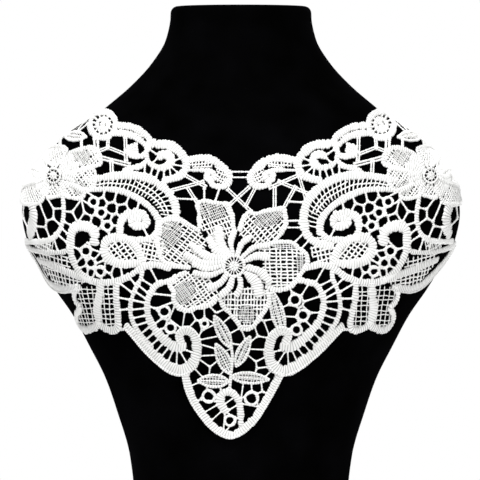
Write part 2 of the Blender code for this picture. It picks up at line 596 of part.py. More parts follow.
def ground_bars(collar, sites):
    """Bars midway between neighbouring gaps, without those that nothing holds at one end."""
    low = np.min(sites, axis=0) - 0.05
    high = np.max(sites, axis=0) + 0.05
    fence = [np.array([x, y]) for x in (low[0], high[0]) for y in np.linspace(low[1], high[1], 7)]
    fence += [np.array([x, y]) for y in (low[1], high[1]) for x in np.linspace(low[0], high[0], 9)[1:-1]]
    points = [Vector(p) for p in list(sites) + fence]
    _, _, faces, _, _, _ = delaunay_2d_cdt(points, [], [], 0, 1e-7)
    count = len(sites)
    corner_of = {}
    by_edge = {}
    for index, face in enumerate(faces):
        a, b, c = (np.array(points[v]) for v in face)
        d = 2 * cross(a, b, c)
        ab, ac = b - a, c - a
        corner_of[index] = a + np.array([ac[1] * ab.dot(ab) - ab[1] * ac.dot(ac),
                                         ab[0] * ac.dot(ac) - ac[0] * ab.dot(ab)]) / d
        for i in range(3):
            by_edge.setdefault(frozenset((face[i], face[(i + 1) % 3])), []).append(index)
    bars = []
    for pair, owners in by_edge.items():
        i, j = sorted(pair)
        if i >= count or j >= count or len(owners) < 2:
            continue
        if np.linalg.norm(sites[i] - sites[j]) > FARTHEST_GAPS:
            continue
        steps = [sites[i] + (sites[j] - sites[i]) * t for t in np.linspace(0.15, 0.85, 9)]
        if any(collar.inside(s) for s in steps):
            continue
        first, last = (corner_of[k] for k in owners)
        whole = last - first
        share = (0.5 * (sites[i] + sites[j]) - first).dot(whole) / max(whole.dot(whole), 1e-12)
        start = first + whole * min(max(share, 0.0), 1.0)
        if not collar.inside(start):
            bars.append((*owners, start))
    while True:
        reached = {}
        for *nodes, start in bars:
            for node in nodes:
                if run_out(collar, start, corner_of[node], False) is corner_of[node]:
                    reached[node] = reached.get(node, 0) + 1
        laid, kept = [], []
        for *nodes, start in bars:
            ends = [run_out(collar, start, corner_of[node], reached.get(node, 0) < 2) for node in nodes]
            if all(end is not None for end in ends):
                laid.append(ends)
                kept.append((*nodes, start))
        if len(kept) == len(bars):
            return laid
        bars = kept


def run_out(collar, start, end, loose):
    """Where a bar that leaves its start towards an end is caught by the first motif."""
    length = np.linalg.norm(end - start)
    if length < CLOSEST_POINTS:
        return None if loose else end
    way = (end - start) / length
    for reach in np.arange(RUN_STEP, length + (LONGEST_BAR if loose else 0.0), RUN_STEP):
        if collar.inside(start + way * reach):
            return start + way * (reach + BAR_BITE)
    return None if loose else end


def lay_out():
    """All motifs of the flat collar, and then the bars between them."""
    collar = Collar()
    for turn, sign in ((lambda p: p, 1), (mirrored, -1)):
        for name, cord in SIDE_CORDS.items():
            route = cord.route[:LEFT_ENDS.get(name)] if sign > 0 else cord.route
            add_cord(collar, cord, [side_place(name, turn, p) for p in route])
        crescent = smooth([flat(turn(p)) for p in CRESCENT.route], CORD_SPACING)
        collar.band(crescent, half_squares(CRESCENT.widths), NET_THICKNESS, NET_THICKNESS)
        for leaf in SIDE_LEAVES:
            add_leaf(collar, turn(leaf.base), turn(leaf.tip), leaf.half_width)
        for name, outline in SIDE_FILLINGS.items():
            collar.area([flat(side_place(name, turn, p)) for p in outline])
        add_boss(collar, turn(WHEEL.centre), WHEEL.radius)
        cord = circle(turn(WHEEL.centre), WHEEL_CORD, BOSS_SIDES)
        collar.band(cord + cord[:1], half_squares([WHEEL_CORD_WIDTH]), CORD_EDGE, CORD_RIDGE)
        place = turn(SIDE_FLOWER)
        add_flower(collar, place, SIDE_PETALS, SIDE_RIM, SIDE_BUTTON, sign)
        for lobe in side_lobes(place, sign):
            add_lobe(collar, *lobe)
    for cord in MIDDLE_CORDS.values():
        add_cord(collar, cord, cord.route)
    for leaf in MIDDLE_LEAVES:
        add_leaf(collar, leaf.base, leaf.tip, leaf.half_width)
    add_flower(collar, MIDDLE_FLOWER, MIDDLE_PETALS, MIDDLE_RIM, MIDDLE_BUTTON, 1)
    for lobe in MIDDLE_LOBES:
        add_lobe(collar, flat(lobe.start), flat(lobe.end), lobe.width * CHART_SQUARE)

    sites = [flat(p) for p in MIDDLE_GAPS + RIGHT_GAPS]
    for name, gaps in SIDE_GAPS.items():
        sites += [flat(p) for p in gaps]
        if name != "inside_scroll":
            sites += [flat(mirrored(p)) for p in gaps]
    collar.close()
    sites = [s for s in sites if not collar.inside(s)]
    for start, end in ground_bars(collar, np.array(sites)):
        collar.band([start, end], [0.5 * BAR_WIDTH], NET_THICKNESS, NET_THICKNESS)
    firm = NECKLINE_BARS + SHOULDER_BARS
    firm += [Bar(mirrored(bar.start), mirrored(bar.end), bar.width) for bar in SHOULDER_BARS]
    for bar in firm:
        collar.band([flat(bar.start), flat(bar.end)], half_squares([bar.width]),
                    NET_THICKNESS, NET_THICKNESS)
    rings = SIDE_RINGS + MIDDLE_RINGS + [Ring(mirrored(r.centre), r.radius) for r in SIDE_RINGS]
    for ring in rings:
        ring_cord(collar, ring.centre, ring.radius)
    return collar


# ---- the collar's wall ----

def united(pieces):
    """The outlines of the union of convex pieces: outer ones counter-clockwise, gaps clockwise."""
    places = []
    faces = []
    for piece in pieces:
        faces.append(list(range(len(places), len(places) + len(piece))))
        places += [Vector(p) for p in piece]
    verts, _, tris, _, _, owners = delaunay_2d_cdt(places, [], faces, 0, 1e-7)
    kept = [tri for tri, owner in zip(tris, owners) if owner]
    halves = set()
    for tri in kept:
        for i in range(3):
            halves.add((tri[i], tri[(i + 1) % 3]))
    rim = [h for h in halves if (h[1], h[0]) not in halves]
    after = {}
    for a, b in rim:
        after.setdefault(a, []).append(b)
    touching = [verts[a] for a, nexts in after.items() if len(nexts) > 1]
    loops = []
    while after:
        start = next(iter(after))
        loop = [start]
        while True:
            here = loop[-1]
            nexts = after[here]
            step = nexts.pop()
            if not nexts:
                del after[here]
            if step == start:
                break
            loop.append(step)
        loops.append([np.array(verts[v]) for v in loop])
    return loops, touching


def loop_area(loop):
    return 0.5 * sum(a[0] * b[1] - b[0] * a[1] for a, b in zip(loop, loop[1:] + loop[:1]))


def sag(a, b):
    """How far the form bulges over the straight line between two flat places."""
    chord = 0.5 * (SURFACE.point(*a) + SURFACE.point(*b))
    return (SURFACE.point(*(0.5 * (a + b))) - chord).length


def followed(loop):
    """The loop with points added until its edges follow the form."""
    fine = []
    for a, b in zip(loop, loop[1:] + loop[:1]):
        parts = max(1, math.ceil(math.sqrt(sag(a, b) / MOST_SAG)))
        fine += [a + (b - a) * k / parts for k in range(parts)]
    return fine


def thinned(loop, tolerance):
    """The loop without the points that its shape can spare."""
    loop = [p for k, p in enumerate(loop) if np.linalg.norm(p - loop[k - 1]) > CLOSEST_POINTS]
    changed = True
    while changed and len(loop) > 4:
        changed = False
        keep = []
        skip = False
        for k, p in enumerate(loop):
            before = keep[-1] if keep else loop[k - 1]
            after = loop[(k + 1) % len(loop)]
            span = np.linalg.norm(after - before)
            off = abs(cross(before, after, p)) / max(span, 1e-9)
            if not skip and off < tolerance and len(loop) > 4 and sag(before, after) < MOST_SAG:
                skip = True
                changed = True
                continue
            skip = False
            keep.append(p)
        loop = keep
    return loop


def thickness_at(collar, points):
    """The wall's thickness at each point: the highest of the cords that cover it."""
    points = np.asarray(points)
    best = np.full(len(points), NET_THICKNESS)
    for curve, widths, edge, ridge in collar.runs:
        if edge <= NET_THICKNESS:
            continue
        reach = widths.max() + CLOSEST_POINTS
        low, high = curve.min(axis=0) - reach, curve.max(axis=0) + reach
        near = np.flatnonzero(np.all((points > low) & (points < high), axis=1))
        for a, b, wa, wb in zip(curve, curve[1:], widths, widths[1:]):
            ab = b - a
            t = np.clip(((points[near] - a) @ ab) / max(ab @ ab, 1e-12), 0, 1)
            off = np.linalg.norm(points[near] - (a + t[:, None] * ab), axis=1)
            half = wa + (wb - wa) * t + 0.5 * CLOSEST_POINTS
            share = np.clip(1 - (off / half) ** 2, 0, 1)
            height = np.where(off <= half, edge + (ridge - edge) * share, 0)
            best[near] = np.maximum(best[near], height)
    return best


def filled(loops, inner):
    """Triangles between the outer outline and the gaps, through the inner points."""
    places = []
    faces = []
    for loop in loops:
        ring = loop if loop_area(loop) > 0 else loop[::-1]
        faces.append(list(range(len(places), len(places) + len(ring))))
        places += ring
    places += inner
    verts, _, tris, _, _, owners = delaunay_2d_cdt([Vector(p) for p in places], [], faces, 0, 1e-7)
    kept = [tri for tri, owner in zip(tris, owners) if owner == [0]]
    return [np.array(v) for v in verts], kept


def spread_points(loops, wanted, clear):
    """The wanted inner points that keep clear of the outlines and apart from each other."""
    edges = [(a, b) for loop in loops for a, b in zip(loop, loop[1:] + loop[:1])]
    starts = np.array([a for a, _ in edges])
    runs = np.array([b - a for a, b in edges])
    lengths = np.maximum((runs ** 2).sum(axis=1), 1e-12)
    kept = []
    for p, gap in wanted:
        t = np.clip(((p - starts) * runs).sum(axis=1) / lengths, 0, 1)
        off = np.linalg.norm(p - (starts + t[:, None] * runs), axis=1).min()
        if off < clear:
            continue
        if kept and np.linalg.norm(np.array(kept) - p, axis=1).min() < gap:
            continue
        kept.append(p)
    return kept


def build_collar():
    collar = lay_out()
    knot = [KNOT_RADIUS * np.array([math.cos(t), math.sin(t)]) for t in np.linspace(0, 2 * math.pi, 7)[1:]]
    for _ in range(4):
        loops, touching = united(collar.pieces)
        if not touching:
            break
        for place in touching:
            collar.convex([np.array(place) + corner for corner in knot])
    outer = max(loops, key=loop_area)
    gaps = [loop for loop in loops if loop_area(loop) < -SMALLEST_GAP_AREA and covers(outer, loop[0])]
    outer = followed(thinned(outer, OUTLINE_TOLERANCE))
    gaps = [followed(thinned(loop, OUTLINE_TOLERANCE)) for loop in gaps]
    loops = [outer] + gaps

    wanted = [(p, RIDGE_GAP) for p in collar.ridge_points]
    low = np.min(outer, axis=0)
    high = np.max(outer, axis=0)
    field = [(np.array([x, y]), FIELD_GAP) for x in np.arange(low[0], high[0], FIELD_STEP)
             for y in np.arange(low[1], high[1], FIELD_STEP)]
    inner = spread_points(loops, wanted + field, EDGE_CLEAR)
    inner = [p for p in inner if covers(outer, p) and not any(covers(gap, p) for gap in gaps)]

    for _ in range(3):
        verts, kept = filled(loops, inner)
        long_edges = {frozenset(pair) for tri in kept for pair in zip(tri, tri[1:] + tri[:1])}
        wanted = []
        for a, b in map(tuple, long_edges):
            if sag(verts[a], verts[b]) > MOST_SAG:
                wanted.append((0.5 * (verts[a] + verts[b]), SPLIT_GAP))
        added = spread_points(loops, wanted, SPLIT_CLEAR)
        if not added:
            break
        inner += added
    thickness = thickness_at(collar, verts)

    bm = bmesh.new()
    used = sorted({v for tri in kept for v in tri})
    laid = {v: bm.verts.new(SURFACE.lifted(*verts[v], LACE_LIFT)) for v in used}
    raised = {}
    for v in used:
        raised[laid[v]] = SURFACE.lifted(*verts[v], LACE_LIFT + thickness[v])
    for tri in kept:
        bm.faces.new([laid[v] for v in tri])
    inner_faces = bm.faces[:]
    lift = [(tuple(v.co), place) for v, place in raised.items()]
    result = bmesh.ops.extrude_face_region(bm, geom=inner_faces)
    new = {tuple(v.co): v for v in result["geom"] if isinstance(v, bmesh.types.BMVert)}
    for place, target in lift:
        new[place].co = target
    bmesh.ops.recalc_face_normals(bm, faces=bm.faces[:])
    return bm


def covers(loop, p):
    """Whether a loop goes around a point."""
    inside = False
    for a, b in zip(loop, loop[1:] + loop[:1]):
        if (a[1] > p[1]) != (b[1] > p[1]):
            if p[0] < a[0] + (b[0] - a[0]) * (p[1] - a[1]) / (b[1] - a[1]):
                inside = not inside
    return inside


# ---- the form ----

def level_heights(low, high):
    """Heights from low to just under high, close enough for the form's profile."""
    turns = np.linspace(0.0, math.pi, 19)
    below, middle, above = (np.array(outline_point(z, turns)) for z in (low, 0.5 * (low + high), high))
    worst = np.linalg.norm(middle - 0.5 * (below + above), axis=0).max()
    if worst < FORM_SAG:
        return [low]
    return level_heights(low, 0.5 * (low + high)) + level_heights(0.5 * (low + high), high)


def build_form():
    """A loft of level outlines, with a rounded rim at the neck's flat top and a flat base."""
    ends = list(np.linspace(0.0, FORM_HEIGHT - NECK_RIM, 13))
    body = [z for low, high in zip(ends, ends[1:]) for z in level_heights(low, high)]
    levels = [(z, 0.0) for z in body + ends[-1:]]
    for k in (1, 2, 3):
        turn = 0.5 * math.pi * k / 3
        levels.append((FORM_HEIGHT - NECK_RIM * (1 - math.sin(turn)), NECK_RIM * (1 - math.cos(turn))))
    bm = bmesh.new()
    bmesh.ops.create_cone(bm, cap_ends=True, segments=FORM_SIDES, radius1=1, radius2=1, depth=1)
    rings = [sorted((v for v in bm.verts if v.co.z < 0), key=lambda v: math.atan2(v.co.x, -v.co.y))]
    top = [v for v in bm.verts if v.co.z > 0]
    bmesh.ops.delete(bm, geom=top, context="VERTS")
    for _ in levels[1:]:
        edges = [e for e in bm.edges if all(v in set(rings[-1]) for v in e.verts)]
        extruded = bmesh.ops.extrude_edge_only(bm, edges=edges)
        verts = [g for g in extruded["geom"] if isinstance(g, bmesh.types.BMVert)]
        rings.append(sorted(verts, key=lambda v: math.atan2(v.co.x, -v.co.y)))
        for v in verts:
            v.co.z += 1.0
    for (height, inset), ring in zip(levels, rings):
        for v in ring:
            turn = math.atan2(v.co.x, -v.co.y)
            across, along = outline_point(height, np.array(abs(turn)))
            place = Vector((math.copysign(float(across), turn), float(along), 0.0))
            shrink = 1 - inset / max(place.length, 1e-6)
            v.co = Vector((place.x * shrink, place.y * shrink + FORM_SETBACK, height))
    bm.faces.new(rings[-1])
    bmesh.ops.recalc_face_normals(bm, faces=bm.faces[:])
    return bm


def material(name, colour, roughness):
    mat = bpy.data.materials.new(name)
    mat.use_nodes = True
    shader = mat.node_tree.nodes["Principled BSDF"]
    shader.inputs["Base Color"].default_value = (*colour, 1.0)
    shader.inputs["Roughness"].default_value = roughness
    shader.inputs["Metallic"].default_value = 0.0
    mat.diffuse_color = (*colour, 1.0)
    return mat


def place_object(name, bm, mat, collection, smooth_faces):
    mesh = bpy.data.meshes.new(name)
    bm.to_mesh(mesh)
    bm.free()
    mesh.materials.append(mat)
    if smooth_faces:
        mesh.shade_smooth()
        mesh.set_sharp_from_angle(angle=math.radians(50))
    collection.objects.link(bpy.data.objects.new(name, mesh))


def main():
    for old in list(bpy.data.objects):
        bpy.data.objects.remove(old, do_unlink=True)
    collection = bpy.data.collections.new("lace_collar_on_dress_form")
    bpy.context.scene.collection.children.link(collection)
    place_object("dress_form", build_form(), material("black_velvet", (0.010, 0.010, 0.012), 0.95),
                 collection, True)
    place_object("lace_collar", build_collar(), material("white_cotton", (0.85, 0.85, 0.84), 0.75),
                 collection, True)


main()
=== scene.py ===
"""Guipure lace collar on a black velvet dress form: sewn threads, nets and padded flowers."""

import math
from collections import namedtuple

import bmesh
import bpy
import numpy as np
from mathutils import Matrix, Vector
from mathutils.geometry import delaunay_2d_cdt


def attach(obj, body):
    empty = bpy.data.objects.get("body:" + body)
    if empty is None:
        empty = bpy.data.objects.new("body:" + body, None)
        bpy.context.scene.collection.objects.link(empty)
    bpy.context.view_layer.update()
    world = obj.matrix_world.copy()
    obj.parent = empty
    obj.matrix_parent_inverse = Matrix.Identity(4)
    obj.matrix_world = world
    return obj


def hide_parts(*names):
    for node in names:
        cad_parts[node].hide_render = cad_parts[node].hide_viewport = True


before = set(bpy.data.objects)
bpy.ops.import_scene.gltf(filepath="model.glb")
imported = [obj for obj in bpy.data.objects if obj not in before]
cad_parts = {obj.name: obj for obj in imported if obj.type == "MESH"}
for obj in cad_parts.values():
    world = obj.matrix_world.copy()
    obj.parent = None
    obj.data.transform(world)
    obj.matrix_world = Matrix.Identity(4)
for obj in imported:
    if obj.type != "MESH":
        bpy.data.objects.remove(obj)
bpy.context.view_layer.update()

# ---- driving sizes, metres: those of the form and the chart are the solids' own ----
CHART_SQUARE = 0.00082      # one square of the lace chart
CHART_MIDDLE = 241.0        # chart column over the form's middle
CHART_BASE = 565.0          # chart row at the form's flat base
FORM_SETBACK = 0.0157       # moves the form back, so that its box is centred on the origin
NECK_RIM = 0.006            # rounding of the neck's top edge
FORM_SIDES = 144            # points around each of the form's levels,
FORM_STEP = 0.005           # which are this far apart

# ---- sewing sizes, metres ----
LACE_LIFT = 0.0005          # the lace's underside above the velvet
CURVE_STEP = 0.001          # between the points of a smooth route,
CURVE_SAMPLES = 24          # which is first read at this many places from knot to knot
RIB_PITCH = 0.0022          # one bundle of stitches of a satin cord, coarse enough to show
STITCH_SLANT = 0.12         # how far a stitch leans along its cord, as a share of its reach across
STITCH_STEP = 0.001         # how far apart a cord's points around it lie on the stitches map
CORD_EDGE = 0.3             # height of a cord's edges beside its middle's,
CORD_ROUND = 0.7            # and how flat its top is: 1 a sine, less a flatter top
RIB_DEPTH = 0.26            # how deep the valleys between bundles are beside the cord's height,
RIB_UNEVEN = (0.7, 0.8)     # with the least share of it that they have, and what chance adds,
RIB_PINCH = 0.11            # and how much narrower the cord is there
RAGGED_CORD = 0.1           # how unevenly wide the cords' stitches, the bars and the nets' threads are
RAGGED_BAR = 0.13
RAGGED_NET = 0.11
CAP_LENGTH = 0.7            # how far a cord runs on past its route, as a share of its half width,
CAP_ROUND = 0.8             # over what share of it the cord narrows to its end,
CAP_HEIGHT = 0.35           # and how high it still is there beside its middle
CORD_CROWN = 0.0021         # how high the satin cords' middles are: broad ones,
THIN_CROWN = 0.0018         # thin ones,
PETAL_CROWN = 0.0019        # the petals', leaves' and rings' rims,
VEIN_CROWN = 0.0015         # the leaves' veins and the shoulder flowers' lobes,
PADDED_CROWN = 0.0026       # and the padded ones
LAID_OVER = 0.0002          # a rim sewn over other stitches starts this much higher

THREAD_LAY = 0.0036         # one turn of a bar's two plies round each other
PLY_OUTLINE = (0.82, 0.18)  # a bar's radius over the plies: its mean and its swing, as shares
BAR_FLATNESS = 0.9          # height of a bar beside its width
BAR_MIDDLE = 0.0009         # height of a bar's middle above the lace's underside
BAR_STEP = 0.00048          # between the rounds of points along a bar
BAR_WIDTHS = (0.0014, 0.0018)   # of the loose bars near the chest's middle and on the wings,
WINGS_START = (0.045, 0.075)    # which start between these ways around the form
BAR_FLARE = 0.75            # how much thicker a bar is where it joins others,
FLARE_LENGTH = 0.0018       # and how far that reaches
LONGEST_BAR = 0.016         # a loose bar's end runs on by up to this to meet a motif
BAR_ROOT = 0.001            # how far a bar runs into the motif that it meets
FARTHEST_GAPS = 0.026       # gaps farther apart have no bar between them
BETWEEN_GAPS = np.linspace(0.15, 0.85, 9)   # at these shares of the way from gap to gap no motif may lie
FENCE_MARGIN = 0.05         # from the outermost gaps to the far sites that close the ground,
FENCE_SITES = (7, 9)        # as many up each side and as many along the top and the bottom
PLIED_BAR = 3.5             # bars from this many squares wide show two plies side by side;
SINGLE_WIDTH = 0.85         # the width of a narrower one's thread, as a share of the bar's,
PLY_WIDTH = 0.45            # and of each ply, whose middles lie
PLY_APART = 0.28            # this share of the width from the bar's middle

NET_HEIGHT = 0.0007         # height of a net's threads,
UNDER_THREADS = -0.0001     # and the step down and up from it to the first family and the second
OVER_THREADS = 0.0003
NET_STEP = 0.0011           # between the rounds of points along a net's thread
NET_WANDER = 0.00012        # how far a thread strays between them
NET_FLATNESS = 0.8          # height of a thread beside its width
NET_WAVE = (0.00022, 0.0031, 900.0)     # how far a thread bows, over what length, and its shift per metre
NET_UNEVEN = 0.16           # how unevenly far apart the threads are, as a share of half their pitch
SHORTEST_THREAD = 5         # cells of the cover; a shorter piece of thread is left out

Section = namedtuple("Section", "height half_width front back squareness")
SECTIONS = [
    Section(0.000, 0.0985, 0.084, 0.070, 2.25),
    Section(0.030, 0.0925, 0.078, 0.065, 2.25),
    Section(0.058, 0.0893, 0.076, 0.063, 2.25),
    Section(0.086, 0.0922, 0.079, 0.062, 2.25),
    Section(0.125, 0.1033, 0.084, 0.064, 2.25),
    Section(0.152, 0.1128, 0.090, 0.067, 2.25),
    Section(0.178, 0.1259, 0.098, 0.070, 2.25),
    Section(0.204, 0.1398, 0.107, 0.074, 2.25),
    Section(0.226, 0.1550, 0.112, 0.078, 2.25),
    Section(0.248, 0.1681, 0.112, 0.081, 2.25),
    Section(0.266, 0.1779, 0.109, 0.083, 2.25),
    Section(0.289, 0.1822, 0.103, 0.084, 2.25),
    Section(0.306, 0.1805, 0.098, 0.084, 2.25),
    Section(0.319, 0.1763, 0.094, 0.083, 2.25),
    Section(0.334, 0.1640, 0.088, 0.081, 2.25),
    Section(0.3485, 0.1515, 0.082, 0.078, 2.2),
    Section(0.3583, 0.1380, 0.0775, 0.0755, 2.2),
    Section(0.3682, 0.1232, 0.0725, 0.0725, 2.15),
    Section(0.3796, 0.1091, 0.068, 0.069, 2.1),
    Section(0.3944, 0.0918, 0.062, 0.065, 2.05),
    Section(0.4141, 0.0738, 0.057, 0.060, 2.0),
    Section(0.4338, 0.0623, 0.053, 0.055, 2.0),
    Section(0.4535, 0.0586, 0.051, 0.052, 2.0),
    Section(0.4610, 0.0586, 0.051, 0.052, 2.0),
]
FORM_HEIGHT = SECTIONS[-1].height

# ---- the chart: columns to the right, rows down, in squares; widths in squares too ----
# The collar's middle line leans: it passes through these columns at these rows.
LEAN_ROWS = (180.0, 377.0, 440.0)
LEAN_COLUMNS = (242.0, 231.5, 230.0)

Cord = namedtuple("Cord", "widths route")
SIDE_CORDS = {
    "shoulder_edge": Cord((5, 5, 5), [(98, 112), (89, 116.5), (76, 122.5), (65, 130.5), (59, 140),
                                      (63, 152)]),
    "scallop_two": Cord((7, 7.4, 6.5), [(114, 125.5), (122, 126.3), (131, 127.3), (140, 131.3),
                                        (148, 137.5), (151, 143)]),
    "scallop_two_inner": Cord((6.5, 6.5, 5), [(113, 133.5), (123, 134), (132, 136.5), (141, 141.5),
                                              (147, 147)]),
    "scallop_three": Cord((9, 10, 8, 7), [(149, 143), (158, 144.8), (168, 145.3), (177, 150),
                                          (184.5, 158.5), (186.5, 167), (182, 175), (173, 179),
                                          (164, 181)]),
    "scallop_three_foot": Cord((5, 6, 5), [(124, 171), (132, 168.5), (141, 166.5), (147, 161)]),
    "scallop_four": Cord((7, 8, 6), [(184.5, 161), (198, 158.5), (210, 159.5), (222, 167), (229.5, 177),
                                     (226, 185.5), (215, 186.5), (209, 181)]),
    "scallop_four_curl": Cord((2.5, 4, 7, 7), [(184.5, 171), (200, 170.8), (208, 171.5), (214, 174.5),
                                               (213, 180), (207.5, 179.5), (207.5, 175)]),
    "curl_two": Cord((6, 5, 7, 8, 8), [(150, 144), (147.5, 151), (143, 156.3), (136, 156.5),
                                       (129.5, 154), (129, 149), (134, 148), (135.5, 152)]),
    "curl_three": Cord((4.5, 5, 6.5, 9, 9), [(147, 147), (146.8, 156), (149, 163), (156, 167.3),
                                             (164, 168), (170, 163.5), (170.5, 157.5), (165, 154.8),
                                             (160, 156.5)]),
    "crescent_outer": Cord((6, 9, 9, 9, 8), [(88, 181), (106, 177.5), (130, 175.5), (150, 179.5),
                                             (166, 190), (175, 204), (176.5, 220), (173.5, 231),
                                             (167.5, 239), (158, 244), (146, 246.5)]),
    "crescent_inner": Cord((5, 7, 7), [(90, 190), (108, 189.5), (122, 191.5), (137, 198), (151, 208.5),
                                       (159, 221), (159, 234)]),
    "spiral_root": Cord((6, 7, 6), [(121, 238), (135, 240), (150, 239), (158, 232)]),
    "spiral": Cord((7, 9, 9, 9, 9, 8), [(121, 239), (120.5, 229), (122.5, 220), (129, 214.5),
                                        (138, 213.5), (145.5, 217.5), (146, 224.5), (139.5, 226.5),
                                        (133, 224), (134, 219.5), (140, 219)]),
    "pomegranate": Cord((8, 10, 8), [(142, 262), (128, 264), (114, 261.5), (106, 254), (106, 243),
                                     (116, 237.5), (129, 240), (138, 248), (143, 262)]),
    "stem": Cord((5, 6, 6), [(63, 196), (64, 213), (61.5, 227), (54, 237), (42, 241), (24, 241)]),
    "loop": Cord((12, 10, 7, 7, 7), [(95, 242), (94, 231), (84, 226), (74, 229), (71, 241), (72, 255),
                                     (79, 270), (93, 280.5), (110, 282), (127, 277.5), (141, 268.5),
                                     (155, 264.5), (170, 268)]),
    "shoulder_fold": Cord((14, 16, 12), [(31.5, 204), (33, 214), (32, 225), (28.5, 235)]),
    "leaf_top": Cord((7, 5, 5), [(22, 244), (36, 250), (50, 252), (66, 251), (70, 244)]),
    "leaf_middle": Cord((6, 9, 7), [(38, 259), (50, 264), (64, 270), (80, 276), (92, 281)]),
    "leaf_edge": Cord((8, 9, 7), [(22, 243), (28, 256), (38, 270), (50, 283), (62, 288.5), (80, 287)]),
    "tulip_left": Cord((7, 8, 8), [(78, 286), (74.5, 293), (76, 301), (80.5, 307.5), (76.5, 315),
                                   (77.5, 324), (85, 330), (95, 327), (100, 323)]),
    "tulip_right": Cord((7, 8, 6), [(99, 323), (106, 328), (114, 330), (119, 325), (118.5, 312),
                                    (117, 298), (118, 283)]),
    "tulip_spine": Cord((8, 11, 11), [(102, 282), (100, 296), (97.5, 308), (99, 322)]),
    "tulip_foot": Cord((3, 4), [(120, 329), (131, 328.5)]),
    "rail_outer": Cord((5, 5, 6), [(143, 267), (141.5, 278), (134.5, 292), (131, 306), (133, 320),
                                   (141, 334), (152, 347)]),
    "rail_inner": Cord((6, 7, 12), [(175, 279.5), (167, 281.5), (157, 285), (149.5, 296), (148, 309),
                                    (152, 323), (162, 336), (173, 345), (183, 346)]),
    "scroll": Cord((7, 10, 12, 10, 8), [(127, 325), (136, 335), (147, 347.5), (160, 359.5), (172, 368),
                                        (183, 370), (193, 363), (197, 350), (195, 336), (187, 329.5),
                                        (180, 334), (182, 342)]),
}
MIDDLE_CORDS = {
    "point_edge": Cord((8, 8, 8), [(186, 374), (189, 388), (195, 402), (205, 417), (216, 428.5),
                                   (229, 435), (241, 431), (254, 419), (263, 405), (271, 391), (277, 379),
                                   (281, 371)]),
    "point_hook": Cord((6, 6.5, 7.5, 9, 8), [(241, 426), (240.5, 411), (238, 399), (230, 391.5),
                                             (222, 394), (220.5, 403), (226, 411)]),
    "point_stem": Cord((3, 3), [(231, 342), (232.5, 358), (231, 374), (229.5, 390)]),
}
THIN_CORD = 6               # squares: the widest that is sewn flatter
END_SCALLOP = "scallop_four"
SCALLOP_SHIFT = 4.0         # the right end scallop sits this much nearer to the middle, in squares
LEFT_ENDS = {"crescent_outer": 7}   # on the left the flower's petal covers the cord's last points
# A thin cord sewn along a broad one's outer side: the share of the half width, and its own width.
RIMMED = {"scroll": (0.72, 2.6), "point_edge": (0.74, 2.4), "leaf_edge": (0.7, 2.4)}

Leaf = namedtuple("Leaf", "base tip half_width")
SIDE_LEAVES = [Leaf((86.5, 137.5), (65.5, 135), 5.0)]
MIDDLE_LEAVES = [
    Leaf((231, 347), (214.5, 315), 6.3),
    Leaf((231, 374), (216, 343), 6.8),
    Leaf((236, 366), (250, 335.5), 6.2),
    Leaf((229, 381), (198, 380), 7.0),
    Leaf((231, 376), (269, 379), 6.2),
    Leaf((283, 334), (271, 289), 7.0),
]

LEAF_SHAPE = [(0.0, 0.0), (0.14, 0.48), (0.34, 0.82), (0.6, 0.8), (0.84, 0.44), (1.0, 0.0)]
LEAF_COVER = (0.15, 0.7, 0.8, 0.6, 0.1)     # the same outline as a band's half widths
LEAF_RIM = (2.4, 2.6, 2.4)
LEAF_VEIN = (1.8, 1.5, 1.2)
VEIN_LIFT = 0.0003
LEAF_HATCH = (2.5, 3.0)     # squares between the threads along a leaf and across it, and their width
HATCH_THREAD = 0.95

# Nets between the cords around them; each has two families of threads: (degrees, squares apart).
Net = namedtuple("Net", "outline first second width")
SIDE_AREAS = {
    "scallop_two": Net([(119, 128.5), (131, 130), (142, 135), (147, 143), (140, 141), (130, 136),
                        (119, 133)], (75, 2.6), (-15, 9.0), 1.6),
    "scallop_four": Net([(188, 160), (205, 158), (214, 163), (212, 169), (200, 169), (189, 168)],
                        (85, 3.1), (5, 3.0), 1.5),
    "scallop_four_side": Net([(213, 164), (222, 168), (228, 180), (224, 185), (216, 183), (216, 172)],
                             (60, 3.0), (-30, 3.2), 1.5),
    "pomegranate": Net([(107, 250), (114, 239), (130, 241), (141, 260), (126, 264), (112, 260)],
                       (32, 4.4), (-52, 4.7), 1.7),
    "pomegranate_side": Net([(138, 246), (148, 240), (162, 236), (168, 250), (160, 264), (145, 266)],
                            (78, 4.4), (-12, 4.4), 1.7),
    "leaf_hatch": Net([(34, 242), (54, 240), (52, 251), (36, 250)], (62, 3.1), (-20, 5.0), 1.4),
    "leaf_upper": Net([(38, 252), (52, 253), (70, 257), (72, 267), (56, 266), (40, 260)],
                      (-11, 4.6), (78, 6.4), 1.4),
    "leaf_lower": Net([(36, 258), (50, 265), (66, 272), (86, 281), (80, 288), (58, 287), (50, 278)],
                      (-8, 4.6), (80, 6.2), 1.5),
    "tulip_left": Net([(78, 286), (102, 284), (98, 300), (97, 324), (86, 329), (78, 322), (82, 308),
                       (77, 298)], (0, 5.0), (90, 6.8), 1.1),
    "tulip_right": Net([(101, 284), (118, 283), (118, 325), (112, 329), (99, 322)],
                       (0, 5.0), (88, 5.8), 1.15),
}
